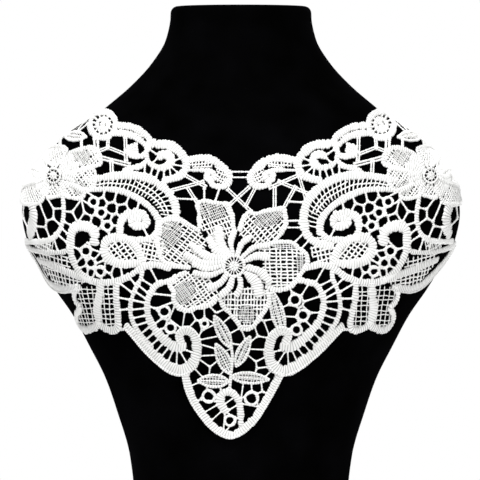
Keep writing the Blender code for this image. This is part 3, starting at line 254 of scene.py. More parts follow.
# Closed fillings, as the solids have them: no bar is laid across one.
SIDE_FILLINGS = {
    "scallop_four": [(186, 160), (205, 158), (222, 168), (228, 180), (215, 186), (208, 176), (190, 170)],
    "spiral": [(118, 226), (123, 212), (143, 211), (151, 222), (143, 231), (128, 230)],
    "pomegranate": SIDE_AREAS["pomegranate"].outline,
    "pomegranate_side": SIDE_AREAS["pomegranate_side"].outline,
    "leaf_upper": [(36, 252), (50, 254), (70, 262), (72, 270), (56, 266), (40, 260)],
    "leaf_lower": [(34, 258), (50, 265), (90, 281), (80, 288), (58, 287), (44, 275)],
    "tulip": [(78, 285), (102, 281), (118, 284), (118, 312), (119, 326), (110, 329), (99, 324),
              (84, 329), (77, 320), (80, 307), (75, 295)],
}
CRESCENT = Cord((8, 14, 20, 18, 10), [(94, 185), (114, 183), (135, 184.5), (152, 191), (164, 203),
                                      (168, 217), (167, 232)])
CRESCENT_MESH = 4.5         # squares between its cross threads, which lean by this share of their reach
CRESCENT_LEAN = 0.25
CRESCENT_END = 0.002        # from the crescent's ends to the nearest cross threads, metres
LONG_THREAD = 0.0013        # the widths of its threads along it and across it, metres
CROSS_THREAD = 0.0011
CRESCENT_THREADS = [
    [(136, 181.5), (141, 184.7), (151, 190), (156, 193.7), (161, 199), (166, 207), (169, 215)],
    [(96, 185.5), (108, 183.5), (118, 184), (127, 184.7), (132, 185.8), (141, 190), (151, 196),
     (156, 200), (161, 206), (165, 214)],
]

Ring = namedtuple("Ring", "centre radius")
WHEEL = Ring((102.5, 125), 16.2)
WHEEL_CORD = 13.1           # the wheel's satin ring, and its width
WHEEL_CORD_WIDTH = 6.6
WHEEL_DISC = ((5.6, 5.6), (1.5, 4.0))   # the satin rounds of its middle: (radius, width)
WHEEL_SPOKES = 13           # between the disc and the ring, through marks this far from the middle,
WHEEL_SPOKE_MARKS = np.linspace(6.5, 12.1, 6)
WHEEL_SPOKE_WIDTH = 0.00155     # and this wide, in metres
CRESCENT_RINGS = [Ring((94, 202.3), 6), Ring((102, 213), 6), Ring((108.2, 226), 6)]
LOOP_RINGS = [Ring((86.7, 251), 6.3), Ring((91.8, 262.7), 6.2), Ring((101.2, 271), 6.2)]
SCROLL_RINGS = [Ring((165, 311), 6.8), Ring((171, 327), 6.4)]
PETAL_RING = Ring((204.7, 323), 5)
POINT_RINGS = [Ring((209, 396), 7.3), Ring((251.5, 398), 7.8), Ring((230, 420.5), 6.5)]
RIGHT_RINGS = [Ring((294.5, 299.5), 6.8), Ring((302.5, 314.5), 6.8), Ring((296, 329), 6.4)]
SIDE_RINGS = CRESCENT_RINGS + LOOP_RINGS
MIDDLE_RINGS = SCROLL_RINGS + [PETAL_RING] + POINT_RINGS + RIGHT_RINGS
RING_WALL = 2.8             # squares

# A petal's rim about its flower's centre: (degrees from the right and upwards, squares from the centre).
MIDDLE_FLOWER = (234.0, 266.0)
MIDDLE_PETALS = [
    [(132, 51), (124, 62), (121, 71), (115, 72), (108, 66), (97, 62), (94, 56), (92, 47), (90, 36)],
    [(81, 36), (79, 48), (75, 55), (67, 56), (60, 63), (54, 69), (49, 76), (44, 71), (39, 67), (35, 58),
     (31, 47)],
    [(32, 42), (27, 53), (22, 62), (15, 67), (9, 73), (2, 73), (-5, 68), (-13, 64), (-22, 58), (-29, 49),
     (-32, 38)],
    [(-37, 41), (-44, 49), (-54, 53), (-63, 57), (-71, 62), (-77, 64), (-83, 62), (-87, 55), (-95, 47),
     (-105, 41), (-114, 35)],
    [(-119, 35), (-120, 42), (-126, 49), (-132, 55), (-136, 64), (-143, 68), (-150, 69), (-157, 65),
     (-164, 67), (-169, 61), (-173, 48)],
    [(182, 44), (180, 57), (178, 67), (173, 74), (167, 77), (160, 82), (152, 86), (146, 82), (140, 73),
     (138, 63), (135, 49)],
]
MIDDLE_WEAVES = [((-64, 3.4), (20, 5.4)), ((45, 3.4), (-48, 5.4)), ((0, 3.6), (92, 5.4)),
                 ((88, 3.3), (0, 5.2)), ((35, 3.3), (-55, 4.2)), ((-36, 3.3), (50, 5.4))]
SIDE_FLOWER = (54.0, 176.5)
SIDE_PETALS = [
    [(58, 16), (56, 27), (50, 33), (43, 41), (35, 49), (25, 51), (14, 47), (12, 18)],
    [(11, 18), (10, 40), (0, 42), (-8, 42), (-22, 39), (-25, 18)],
    [(-27, 16), (-28, 34), (-36, 36), (-45, 32), (-54, 26), (-61, 22), (-62, 14)],
    [(-64, 12), (-66, 20), (-88, 20.5), (-108, 22), (-112, 12)],
    [(-114, 16), (-117, 29), (-127, 35), (-139, 41), (-151, 42), (-158, 38), (-160, 18)],
    [(-162, 16), (-164, 36), (-174, 41), (-186, 42), (-196, 38), (-199, 18)],
    [(-201, 16), (-204, 34), (-214, 36), (-228, 35), (-238, 30), (-240, 14)],
    [(106, 12), (106, 27), (90, 30), (74, 30), (64, 29), (63, 14)],
]
SIDE_WEAVES = [((40, 2.9), (-50, 3.2))] * len(SIDE_PETALS)
SIDE_LOBE_START = 9.0       # squares from the flower's middle to its lobes
SIDE_LOBE_SHARE = 0.5       # of a petal's length that its lobes reach,
SIDE_LOBE_PLACES = (0.26, 0.74)     # at these shares of the petal's spread,
SIDE_LOBE_SPREAD = 0.45     # and each as wide as this share of it
PETAL_PULL = 0.3            # how round the petals' corners are
RIM_WAVE = 0.13             # how uneven a petal's rim is, as a share of its width,
RIM_WAVES = 16              # at this many places along it
DARN_SHARE = 0.42           # how thick a darned patch's threads are, beside the net's
LOBE_BEND = 0.13            # a lobe's bow, as a share of its length
LOBE_HALF_WIDTHS = (0.3, 0.42, 0.48, 0.5, 0.42)     # shares of a lobe's width, from its root on
LOBE_LIFT = 0.0005          # the lobes lie over the petals, in three heights this far apart
LOBE_LAYER = 0.00012

# The padded lobes that curl out of the middle flower.
Lobe = namedtuple("Lobe", "start end width")
MIDDLE_LOBES = [
    Lobe((229.5, 256.5), (219, 229), 10.5), Lobe((233, 254), (234.8, 231), 6.5),
    Lobe((237.5, 254.5), (251, 237), 7), Lobe((242.5, 257), (268.5, 245.5), 6.5),
    Lobe((245, 261), (268, 257.5), 8), Lobe((247, 267), (269, 282), 9.5),
    Lobe((246, 273), (259, 293.5), 11.5), Lobe((240, 277.5), (236.5, 294.5), 7),
    Lobe((233, 276.5), (220.5, 295), 7.5), Lobe((228, 273), (209, 287.5), 7.5),
    Lobe((224.5, 269.5), (194.5, 272.5), 6.5), Lobe((223, 265.5), (194, 264), 6.5),
    Lobe((224, 261.5), (186, 255), 8), Lobe((226, 258.5), (192.5, 245.5), 9),
    Lobe((228, 257), (209.5, 239), 9),
]

# Closely darned patches over the middle petals' nets: (centre, half width, half height, degrees).
Patch = namedtuple("Patch", "centre wide high degrees")
MIDDLE_PATCHES = [
    Patch((212, 211), 15, 9, -15), Patch((269, 219), 16, 8, 20), Patch((285, 246), 14, 4, 0),
    Patch((300, 264), 5, 10, 0), Patch((247, 314), 10, 9, 80), Patch((184, 293), 14, 10, 50),
    Patch((170, 235), 12, 15, -30),
]
SIDE_PATCHES = [Patch((79, 159), 13, 8, 25), Patch((80, 189), 12, 7, -30)]

# A flower: its net's thread and petal rim, its button's ring and disc, the disc's spokes, its lobes'
# crown, and the share of its petals' length that is left without net; in squares, but for the crown.
Flower = namedtuple("Flower", "centre petals weaves patches thread rim button disc spokes crown eye")
CHEST_FLOWER = Flower(MIDDLE_FLOWER, MIDDLE_PETALS, MIDDLE_WEAVES, MIDDLE_PATCHES, thread=1.6, rim=4.6,
                      button=10.0, disc=4.9, spokes=16, crown=PADDED_CROWN, eye=0.38)
SHOULDER_FLOWER = Flower(SIDE_FLOWER, SIDE_PETALS, SIDE_WEAVES, SIDE_PATCHES, thread=1.75, rim=4.0,
                         button=6.8, disc=4.0, spokes=9, crown=VEIN_CROWN, eye=0.3)
BUTTON_RING = (1.02, 0.34)  # the button's ring: its radius and width, as shares of the button's radius
BUTTON_ROUNDS = ((0.68, 0.0026), (0.24, 0.0031))    # the disc's rounds: (share of its radius, crown)
BUTTON_ROUND_WIDTH = 0.68   # and their width, as a share of it
BUTTON_CROWN = 0.0022       # height of the ring and of the spokes
BUTTON_LIFT = 0.0008        # what the ring and
DISC_LIFT = 0.0006          # the disc lie on
SPOKE_REACH = (0.8, 0.95)   # the spokes run from this share of the disc to this share of the button
SPOKE_WIDTH = 0.0009

Bar = namedtuple("Bar", "start end width")
SHOULDER_BARS = [
    Bar((98, 152), (109, 148), 4.0),
    Bar((107, 147.5), (126, 155), 3.8),
    Bar((97, 157), (131, 166), 5.0),
    Bar((111.5, 160), (112.5, 177), 4.6),
    Bar((125.5, 137), (126.5, 163), 4.2),
    Bar((108.5, 137), (107.8, 150), 4.0),
    Bar((81.5, 137), (82, 152), 3.6),
    Bar((96, 138), (97, 154), 7.0),
    Bar((136, 143), (136, 150), 4.0),
]
NECKLINE_BARS = [
    Bar((230, 172.5), (252, 172.5), 2.2),
    Bar((230, 178), (252, 178), 2.2),
    Bar((227, 189), (252, 213), 4.0),
    Bar((250, 187), (229, 206), 4.0),
    Bar((256, 187), (245, 208), 3.6),
    Bar((220, 188), (215, 203), 3.0),
    Bar((204.5, 188), (204.5, 204), 3.0),
    Bar((184, 175), (207, 188), 4.0),
    Bar((168, 192), (205, 182), 4.0),
    Bar((187, 187), (199, 206), 4.0),
    Bar((172, 199), (198, 200), 2.6),
    Bar((274.5, 186), (274.5, 210), 4.2),
    Bar((296, 186), (281, 213), 4.0),
    Bar((287, 202), (303, 203), 2.8),
    Bar((268, 189), (299, 175.5), 4.0),
    Bar((277, 181.5), (310, 195), 4.0),
    Bar((298, 174), (306, 201), 3.6),
    Bar((284, 221.5), (301, 221), 2.6),
    Bar((284, 228), (301, 228), 2.2),
    Bar((294, 243), (305, 232), 2.4),
    Bar((300, 250), (309, 240), 2.4),
]


def holes(rings):
    """The rings' own holes, which are gaps of the ground too."""
    return [ring.centre for ring in rings]


# Gap centres of the ground, of both wings, the left, the right and the middle: the bars run midway
# between neighbouring gaps.
SIDE_GAPS = {
    "shoulder": [(85.8, 122.8), (77, 127), (83.5, 130.5), (75, 145.5), (88, 142)],
    "scallop_three": [(165.5, 151), (171.5, 154), (176, 158), (178, 163), (177, 169), (173.5, 173),
                      (167.5, 174), (161, 174), (155.5, 172), (149, 170), (141, 170),
                      (153.5, 157), (157.5, 151), (159.5, 163)],
    "crescent": [(98.5, 194.5), (110, 197), (101.7, 203.5), (121.5, 200), (133, 205), (112, 209),
                 (123, 210), (90, 210), (79.3, 213), (71, 205), (70.5, 219), (86.5, 219), (97, 222),
                 (108, 218), (115, 221), (115, 231), (104, 235)] + holes(CRESCENT_RINGS),
    "stem": [(58, 203.5), (49.5, 213), (58.5, 214), (41, 220), (52.5, 226), (42, 233), (34.5, 237),
             (64.5, 234.5), (67.5, 229), (61, 242), (51.5, 245.5), (44, 245.5), (20.5, 211), (25.5, 217),
             (24, 226)],
    "spiral": [(151, 214), (144, 208), (139.5, 234.5), (151.5, 228), (81, 242)],
    "loop": [(97, 246.5), (95.5, 254.3), (78.3, 256), (82.5, 262), (99.5, 259), (101.5, 264.5),
             (85.5, 270.5), (91.5, 273), (97, 277.5), (107, 276.5), (109.5, 267.5), (117.3, 271.8),
             (127.5, 270), (136.5, 267.5)] + holes(LOOP_RINGS),
    "ladder_outer": [(137, 277.5), (130, 284.5), (125.5, 292), (124.5, 304), (126, 313.5), (127, 322)],
    "ladder_inner": [(160, 274), (151, 279), (146.5, 287), (143, 292), (140, 297.5), (139, 304),
                     (140, 312.5), (141.5, 319.5), (143.5, 326.5), (148, 333), (152.5, 339), (157, 345),
                     (162, 350), (167.5, 355), (173.5, 358), (181, 358.5), (187, 355), (190.5, 345.5)],
}
LEFT_GAPS = [(162, 288), (161, 300), (156.5, 317), (161.5, 324), (164.5, 332), (171.5, 337), (178, 317),
             (190.5, 319)] + holes(SCROLL_RINGS)
RIGHT_GAPS = [(299, 288), (308, 294), (311, 304), (285, 297), (291, 311), (290.5, 321), (311, 320),
              (305, 326), (303, 333.5), (296, 339), (286, 343)] + holes(RIGHT_RINGS)
MIDDLE_GAPS = [
    (199.5, 314.5), (210, 314), (197, 325), PETAL_RING.centre, (218.5, 306),
    (222.5, 314.5), (230.5, 324), (209, 332), (211, 342), (208.5, 350.5), (209, 359), (203, 367.5),
    (217, 369), (237.5, 337), (235.5, 350), (229, 354), (225, 345.5), (194, 376),
    (200, 390), (215, 389), (225.5, 385), (226.5, 376.5), (239, 388), (246, 389), (257.5, 388),
    (266, 387), (261.5, 396.5), (249.5, 365), (258.5, 354), (259, 343.5), (263, 363), (264, 370.5),
    (271, 377), (227, 398), (231, 403.5), (208, 404.5), (213, 413), (219, 419.5), (235.5, 425),
    (235.5, 411), (249, 412), (250, 332), (262, 328), (268, 313), (270, 325),
] + holes(POINT_RINGS)


# ---- the form's surface ----

def monotone(xs, ys):
    """A smooth curve through the rows of a table that never overshoots them."""
    xs = np.asarray(xs, float)
    ys = np.asarray(ys, float)
    step = np.diff(xs)
    slope = np.diff(ys) / step
    tangent = np.zeros(len(xs))
    tangent[0], tangent[-1] = slope[0], slope[-1]
    for i in range(1, len(xs) - 1):
        if slope[i - 1] * slope[i] > 0:
            w1 = 2 * step[i] + step[i - 1]
            w2 = step[i] + 2 * step[i - 1]
            tangent[i] = (w1 + w2) / (w1 / slope[i - 1] + w2 / slope[i])

    def value(x):
        x = np.clip(x, xs[0], xs[-1])
        i = np.clip(np.searchsorted(xs, x) - 1, 0, len(xs) - 2)
        h = step[i]
        t = (x - xs[i]) / h
        return (ys[i] * (1 + 2 * t) * (1 - t) ** 2 + h * tangent[i] * t * (1 - t) ** 2
                + ys[i + 1] * t * t * (3 - 2 * t) + h * tangent[i + 1] * t * t * (t - 1))

    return value


HEIGHTS = [row.height for row in SECTIONS]
HALF_WIDTH = monotone(HEIGHTS, [row.half_width for row in SECTIONS])
FRONT = monotone(HEIGHTS, [row.front for row in SECTIONS])
BACK = monotone(HEIGHTS, [row.back for row in SECTIONS])
SQUARENESS = monotone(HEIGHTS, [row.squareness for row in SECTIONS])


def outline_point(height, turn):
    """A point of the level outline; the turn runs from 0 at the front's middle to pi behind."""
    power = 2.0 / SQUARENESS(height)
    depth = np.where(np.cos(turn) > 0, FRONT(height), BACK(height))
    across = HALF_WIDTH(height) * np.abs(np.sin(turn)) ** power
    along = -depth * np.sign(np.cos(turn)) * np.abs(np.cos(turn)) ** power
    return across, along


class Surface:
    """The form, read by the way around it from the front's middle and by the height."""

    step = 0.001
    reach = 0.34            # the longest way around that is read
    to_side = 361           # points of a level outline from the front's middle to its widest

    def __init__(self):
        turns = np.linspace(0.0, math.pi, 2 * self.to_side - 1)
        ways = np.arange(0.0, self.reach, self.step)
        across, along = [], []
        self.quarter = []
        for row in range(int(round(FORM_HEIGHT / self.step)) + 1):
            x, y = outline_point(row * self.step, turns)
            way = np.concatenate([[0.0], np.cumsum(np.hypot(np.diff(x), np.diff(y)))])
            across.append(np.interp(ways, way, x))
            along.append(np.interp(ways, way, y))
            self.quarter.append((x[:self.to_side], way[:self.to_side]))
        self.across = np.array(across)
        self.along = np.array(along)

    def point(self, way, height):
        """The form's own points."""
        rows, columns = self.across.shape
        i = np.clip(height / self.step, 0, rows - 1.001)
        k = np.clip(np.abs(way) / self.step, 0, columns - 1.001)
        row, column = i.astype(int), k.astype(int)
        i, k = i - row, k - column
        found = []
        for table in (self.across, self.along):
            near = table[row, column] * (1 - k) + table[row, column + 1] * k
            far = table[row + 1, column] * (1 - k) + table[row + 1, column + 1] * k
            found.append(near * (1 - i) + far * i)
        return np.stack([np.sign(way) * found[0], found[1] + FORM_SETBACK, height + 0 * way], axis=-1)

    def lifted(self, flat_places, lift):
        """Points over the form, square to it."""
        way, height = flat_places[..., 0], flat_places[..., 1]
        step = 2 * self.step
        around = self.point(way + step, height) - self.point(way - step, height)
        upward = self.point(way, height + step) - self.point(way, height - step)
        normal = np.cross(around, upward)
        normal /= np.linalg.norm(normal, axis=-1, keepdims=True)
        return self.point(way, height) + normal * lift[..., None]

    def way_at(self, across, height):
        """The way around to a place seen from the front; past the form's side it runs straight on."""
        reach, ways = self.quarter[int(round(height / self.step))]
        way = np.interp(abs(across), reach, ways)
        return math.copysign(way + max(0.0, abs(across) - reach[-1]), across)


SURFACE = Surface()


# ---- from the chart to the flat collar ----

def as_drawn(place):
    """The same place: the chart draws the left wing."""
    return place


def mirrored(place):
    """The same place on the other wing; the collar's middle line leans a little."""
    lean = float(np.interp(place[1], LEAN_ROWS, LEAN_COLUMNS))
    return 2 * lean - place[0], place[1]


def side_place(name, turn, place):
    """A named motif's chart place on its side of the collar."""
    x, y = turn(place)
    if turn is mirrored and name.startswith(END_SCALLOP):
        x -= SCALLOP_SHIFT
    return x, y


def flat(place):
    """A chart place on the flat collar: the way around the form and the height, metres."""
    height = (CHART_BASE - place[1]) * CHART_SQUARE
    return np.array([SURFACE.way_at((place[0] - CHART_MIDDLE) * CHART_SQUARE, height), height])


def flats(places, turn=as_drawn):
    """Chart places, turned or as drawn, on the flat collar."""
    return [flat(turn(place)) for place in places]


def half_squares(widths):
    """Widths on the chart as half widths in metres."""
    return [0.5 * w * CHART_SQUARE for w in widths]


def spread(values, shares):
    """Values that stand evenly along a route, read at shares of its length."""
    return np.interp(shares, np.linspace(0, 1, len(values)), values)


def smooth(points, pull=0.5):
    """A cardinal curve through the points, in even steps along it; less pull, sharper corners."""
    points = [np.asarray(p, float) for p in points]
    knots = [2 * points[0] - points[1]] + points + [2 * points[-1] - points[-2]]
    fine = []
    for a, b, c, d in zip(knots, knots[1:], knots[2:], knots[3:]):
        t = np.linspace(0.0, 1.0, CURVE_SAMPLES, endpoint=False)[:, None]
        fine.append(b + pull * (c - a) * t + (3 * (c - b) - pull * (2 * c - 2 * a + d - b)) * t * t
                    + (2 * (b - c) + pull * (c - a + d - b)) * t ** 3)
    fine.append(knots[-2][None])
    fine = np.concatenate(fine)
    run = np.concatenate([[0.0], np.cumsum(np.linalg.norm(np.diff(fine, axis=0), axis=1))])
    marks = np.linspace(0.0, run[-1], max(3, int(round(run[-1] / CURVE_STEP)) + 1))
    return np.stack([np.interp(marks, run, fine[:, k]) for k in (0, 1)], axis=1)


def about(centre, degrees, squares):
    """The flat place at an angle and a distance on the chart from a chart place."""
    angle = math.radians(degrees)
    return flat((centre[0] + squares * math.cos(angle), centre[1] - squares * math.sin(angle)))


def circle(centre, squares, count=48):
    """A round route in the flat that ends where it starts."""
    return np.array([about(centre, 360 * (k % count) / count, squares) for k in range(count + 1)])


def encloses(outline, places):
    """Which places an outline goes around."""
    outline = np.asarray(outline)
    inside = np.zeros(places.shape[:-1], bool)
    for a, b in zip(outline, np.roll(outline, -1, axis=0)):
        level = (a[1] > places[..., 1]) != (b[1] > places[..., 1])
        rise = b[1] - a[1] if b[1] != a[1] else 1.0
        at = a[0] + (b[0] - a[0]) * (places[..., 1] - a[1]) / rise
        inside ^= level & (places[..., 0] < at)
    return inside


# ---- sewn pieces: every thread is a grid rolled into a closed tube and laid on the form ----

class Walk:
    """A flat route, read by the length along it."""

    def __init__(self, route, closed=False):
        self.route = np.asarray(route, float)
        self.closed = closed
        run = np.linalg.norm(np.diff(self.route, axis=0), axis=1)
        self.run = np.concatenate([[0.0], np.cumsum(run)])
        self.length = self.run[-1]
        tangent = np.gradient(self.route, axis=0)
        if closed:
            tangent[0] = tangent[-1] = self.route[1] - self.route[-2]
        tangent /= np.linalg.norm(tangent, axis=1)[:, None]
        self.side = np.stack([-tangent[:, 1], tangent[:, 0]], axis=1)

    def read(self, s, table):
        """A table of the route's points, read between them."""
        s = np.mod(s, self.length) if self.closed else np.clip(s, 0, self.length)
        return np.stack([np.interp(s, self.run, table[:, k]) for k in (0, 1)], axis=-1)

    def at(self, s, aside):
        """Places beside the route, to its left where they are above zero."""
        return self.read(s, self.route) + self.read(s, self.side) * aside[..., None]


def capped(route, half_widths):
    """The route with both its ends moved out by the cord's round caps."""
    first = route[0] - route[1]
    last = route[-1] - route[-2]
    first *= CAP_LENGTH * half_widths[0] / np.linalg.norm(first)
    last *= CAP_LENGTH * half_widths[-1] / np.linalg.norm(last)
    return np.concatenate([[route[0] + first], route, [route[-1] + last]])


# The lace's six pieces, and the seeds of their random draws.
Pieces = namedtuple("Pieces", "cords leaves flowers bars nets petal_nets")
SEEDS = Pieces(cords=11, leaves=12, flowers=13, bars=15, nets=14, petal_nets=16)


class Sewing:
    """Gathers the threads of one piece, and then makes them one closed mesh."""

    def __init__(self, seed):
        self.threads = []
        self.random = np.random.default_rng(seed)

    def keep(self, places, lift, along, around):
        """One thread: its grid of flat places, their lift, and its measures in stitch bundles."""
        self.threads.append((places, lift, np.stack([around, along], axis=-1) / RIB_PITCH))

    def satin(self, route, half_widths, crown, base=0.0, closed=False):
        """A satin-stitched cord: a crowned band whose stitches lie side by side across it.

        Each bundle of stitches has three rounds of points, and the first of them is its valley.
        """
        if not closed:
            route = capped(np.asarray(route, float), half_widths)
        walk = Walk(route, closed)
        count = max(2, int(round(walk.length / RIB_PITCH))) * 3
        s = np.linspace(0, walk.length, count + 1)
        half = spread(half_widths, s / walk.length)
        valley = (np.arange(count + 1) % 3 == 0).astype(float)
        depth = RIB_DEPTH * (RIB_UNEVEN[0] + RIB_UNEVEN[1] * self.random.random(count + 1))
        end = np.ones(count + 1)
        if not closed:
            away = np.minimum(s, walk.length - s)
            end = np.sqrt(np.clip(1 - (1 - np.clip(away / (CAP_ROUND * half), 0, 1)) ** 2, 0, 1))
            valley[[0, -1]] = 0
        turn = np.linspace(0, math.pi, 8)
        aside = np.concatenate([np.cos(turn), [0.0, 1.0]])
        height = CORD_EDGE + (1 - CORD_EDGE) * np.sin(turn) ** CORD_ROUND
        height = np.concatenate([height, [0.0, CORD_EDGE]])
        stitch = self.random.standard_normal(count // 3 + 2)
        ragged = 1 + RAGGED_CORD * stitch[(np.arange(count + 1) + 1) // 3]
        if closed:
            ragged[-1], depth[-1] = ragged[0], depth[0]
        wide = half * end * ragged * (1 - RIB_PINCH * valley)
        rise = crown * (CAP_HEIGHT + (1 - CAP_HEIGHT) * end) * end ** 0.25 * (1 - depth * valley)
        offset = wide[:, None] * aside
        places = walk.at(s[:, None] + STITCH_SLANT * offset * end[:, None], offset)
        lift = LACE_LIFT + base + rise[:, None] * height
        along = np.arange(count + 1)[:, None] / 3 * RIB_PITCH + 0 * offset
        self.keep(places, lift, along, np.arange(len(aside)) * STITCH_STEP + 0 * offset)

    def ring(self, centre, radius, width, crown, base=0.0, points=48):
        """A satin cord closed around a chart place; its radius and width are in squares."""
        self.satin(circle(centre, radius, points), half_squares([width]), crown, base, closed=True)

    def twisted(self, start, end, width):
        """A straight bar of two plies wound round each other, thicker towards its ends."""
        walk = Walk(np.linspace(start, end, 6))
        count = max(4, int(round(walk.length / BAR_STEP)))
        s = np.linspace(0, walk.length, count + 1)
        angle = np.linspace(0, 2 * math.pi, 9)
        ply = angle - 2 * math.pi * s[:, None] / THREAD_LAY
        radius = 0.5 * width * (PLY_OUTLINE[0] + PLY_OUTLINE[1] * np.cos(2 * ply))
        radius *= 1 + RAGGED_BAR * self.random.standard_normal((count + 1, 1))
        away = np.minimum(s, walk.length - s)[:, None]
        radius *= 1 + BAR_FLARE * np.exp(-(away / FLARE_LENGTH) ** 2)
        radius[[0, -1]] = 0
        places = walk.at(s[:, None] + 0 * radius, radius * np.cos(angle))
        lift = LACE_LIFT + BAR_MIDDLE + BAR_FLATNESS * radius * np.sin(angle)
        self.keep(places, lift, s[:, None] + 0 * radius, angle * 0.5 * width + 0 * radius)

    def fine(self, route, width, middle=NET_HEIGHT):
        """A net's thread: round, slightly uneven."""
        walk = Walk(route)
        count = max(3, int(round(walk.length / NET_STEP)))
        s = np.linspace(0, walk.length, count + 1)
        angle = np.linspace(0, 2 * math.pi, 7)
        if np.ndim(width):
            width = np.interp(s, walk.run, width)[:, None]
        radius = 0.5 * width * (1 + RAGGED_NET * self.random.standard_normal((count + 1, 1))) + 0 * angle
        radius[[0, -1]] = 0
        wander = NET_WANDER * self.random.standard_normal((count + 1, 1))
        places = walk.at(s[:, None] + 0 * radius, radius * np.cos(angle) + wander)
        lift = LACE_LIFT + middle + NET_FLATNESS * radius * np.sin(angle)
        self.keep(places, lift, s[:, None] + 0 * radius, angle * 0.5 * width + 0 * radius)

    def spokes(self, centre, marks, count, width, middle=NET_HEIGHT):
        """Fine threads out from a chart place, through marks at these distances in squares."""
        for degrees in np.linspace(0, 360, count, endpoint=False):
            self.fine([about(centre, degrees, squares) for squares in marks], width, middle)

    def mesh(self, name):
        """All threads as grids, rolled up, their seams and ends merged, faces outwards."""
        bm = bmesh.new()
        for places, _, _ in self.threads:
            rows, columns = places.shape[:2]
            bmesh.ops.create_grid(bm, x_segments=columns - 1, y_segments=rows - 1, size=1.0)
        mesh = bpy.data.meshes.new(name)
        bm.to_mesh(mesh)
        bm.free()
        places = np.concatenate([p.reshape(-1, 2) for p, _, _ in self.threads])
        lift = np.concatenate([np.broadcast_to(h, p.shape[:2]).ravel() for p, h, _ in self.threads])
        mesh.vertices.foreach_set("co", SURFACE.lifted(places, lift).astype(np.float32).ravel())
        corner = np.empty(len(mesh.loops), np.int32)
        mesh.loops.foreach_get("vertex_index", corner)
        stitches = np.concatenate([m.reshape(-1, 2) for _, _, m in self.threads])[corner]
        layer = mesh.uv_layers.new(name="stitches")
        layer.uv.foreach_set("vector", stitches.astype(np.float32).ravel())
        bm = bmesh.new()
        bm.from_mesh(mesh)
        bmesh.ops.remove_doubles(bm, verts=bm.verts[:], dist=1e-7)
        bmesh.ops.dissolve_degenerate(bm, edges=bm.edges[:], dist=1e-7)
        bmesh.ops.recalc_face_normals(bm, faces=bm.faces[:])
        bm.to_mesh(mesh)
        bm.free()
        mesh.shade_smooth()
        return mesh


# ---- where motifs cover the flat collar ----

class Cover:
    """A fine raster of the flat collar, marked where a motif lies."""

    cell = 0.0004
    low = np.array([-0.24, 0.09])       # its first corner, and its cells each way
    size = (1200, 760)

    def __init__(self):
        x = self.low[0] + self.cell * np.arange(self.size[0])
        y = self.low[1] + self.cell * np.arange(self.size[1])
        self.places = np.stack(np.meshgrid(x, y, indexing="ij"), axis=-1)
        self.marked = np.zeros(self.size, bool)

    def window(self, low, high):
        """The cells between two corners."""
        a = np.clip(((low - self.low) / self.cell).astype(int) - 1, 0, self.size)
        b = np.clip(((high - self.low) / self.cell).astype(int) + 2, 0, self.size)
        return slice(a[0], b[0]), slice(a[1], b[1])

    def band(self, curve, half_widths):
        """Marks a band along a curve; it ends a little past the curve's last points."""
        half = spread(half_widths, np.linspace(0, 1, len(curve)))
        last = len(curve) - 2
        for i, (a, b, wide) in enumerate(zip(curve, curve[1:], half)):
            part = self.window(np.minimum(a, b) - wide, np.maximum(a, b) + wide)
            here = self.places[part]
            length = max(np.linalg.norm(b - a), 1e-6)
            t = ((here - a) @ (b - a)) / length ** 2
            past = np.maximum(-t if i == 0 else 0, t - 1 if i == last else 0) * length
            t = np.clip(t, 0, 1)
            off = np.linalg.norm(here - (a + t[..., None] * (b - a)), axis=-1)
            self.marked[part] |= (off <= wide) & (past <= CAP_LENGTH * wide)

    def area(self, outline):
        """Marks what an outline goes around."""
        outline = np.asarray(outline)
        part = self.window(outline.min(axis=0), outline.max(axis=0))
        self.marked[part] |= encloses(outline, self.places[part])

    def inside(self, place):
        """Whether a motif covers a place."""
        i, k = ((np.asarray(place) - self.low) / self.cell + 0.5).astype(int)
        return bool(self.marked[min(max(i, 0), self.size[0] - 1), min(max(k, 0), self.size[1] - 1)])


def petal_outline(centre, petal, sign):
    """One petal's rim about its flower's chart place, in the flat; sign -1 mirrors it."""
    return [about(centre, degrees if sign > 0 else 180 - degrees, squares) for degrees, squares in petal]


def net_threads(sewing, outline, families, width, hole=None, patches=()):
    """Two families of threads over an outlined place; a darned patch has twice as many thinner ones."""
    outline = np.asarray(outline)
    centre = 0.5 * (outline.min(axis=0) + outline.max(axis=0))
    reach = np.linalg.norm(outline - centre, axis=1).max()
    bow, length, shift = NET_WAVE
    for height, (degrees, squares) in zip((UNDER_THREADS, OVER_THREADS), families):
        angle = math.radians(degrees)
        way = np.array([math.cos(angle), math.sin(angle)])
        side = np.array([-way[1], way[0]])
        half_pitch = 0.5 * squares * CHART_SQUARE
        along = np.arange(-reach, reach, Cover.cell)
        for number in range(int(2 * reach / half_pitch)):
            offset = -reach + half_pitch * (number + NET_UNEVEN * sewing.random.standard_normal())
            bend = bow * np.sin(along / length + offset * shift)
            line = centre + along[:, None] * way + (offset + bend)[:, None] * side
            inside = encloses(outline, line)
            if hole is not None:
                inside &= ~encloses(hole, line)
            darned = np.zeros(len(line), bool)
            for patch in patches:
                darned |= encloses(patch, line)
            if number % 2:
                inside &= darned
            widths = np.where(darned, DARN_SHARE, 1.0) * width * CHART_SQUARE
            edges = np.flatnonzero(np.diff(np.concatenate([[0], inside.astype(int), [0]])))
            for start, end in zip(edges[::2], edges[1::2]):
                if end - start > SHORTEST_THREAD:
                    sewing.fine(line[start:end], widths[start:end], NET_HEIGHT + height)


def patch_outline(patch, turn):
    """A patch's oval in the flat."""
    tilt = math.radians(patch.degrees)
    outline = []
    for angle in np.radians(np.arange(0, 360, 20)):
        x, y = patch.wide * math.cos(angle), patch.high * math.sin(angle)
        outline.append((patch.centre[0] + x * math.cos(tilt) + y * math.sin(tilt),
                        patch.centre[1] - x * math.sin(tilt) + y * math.cos(tilt)))
    return flats(outline, turn)


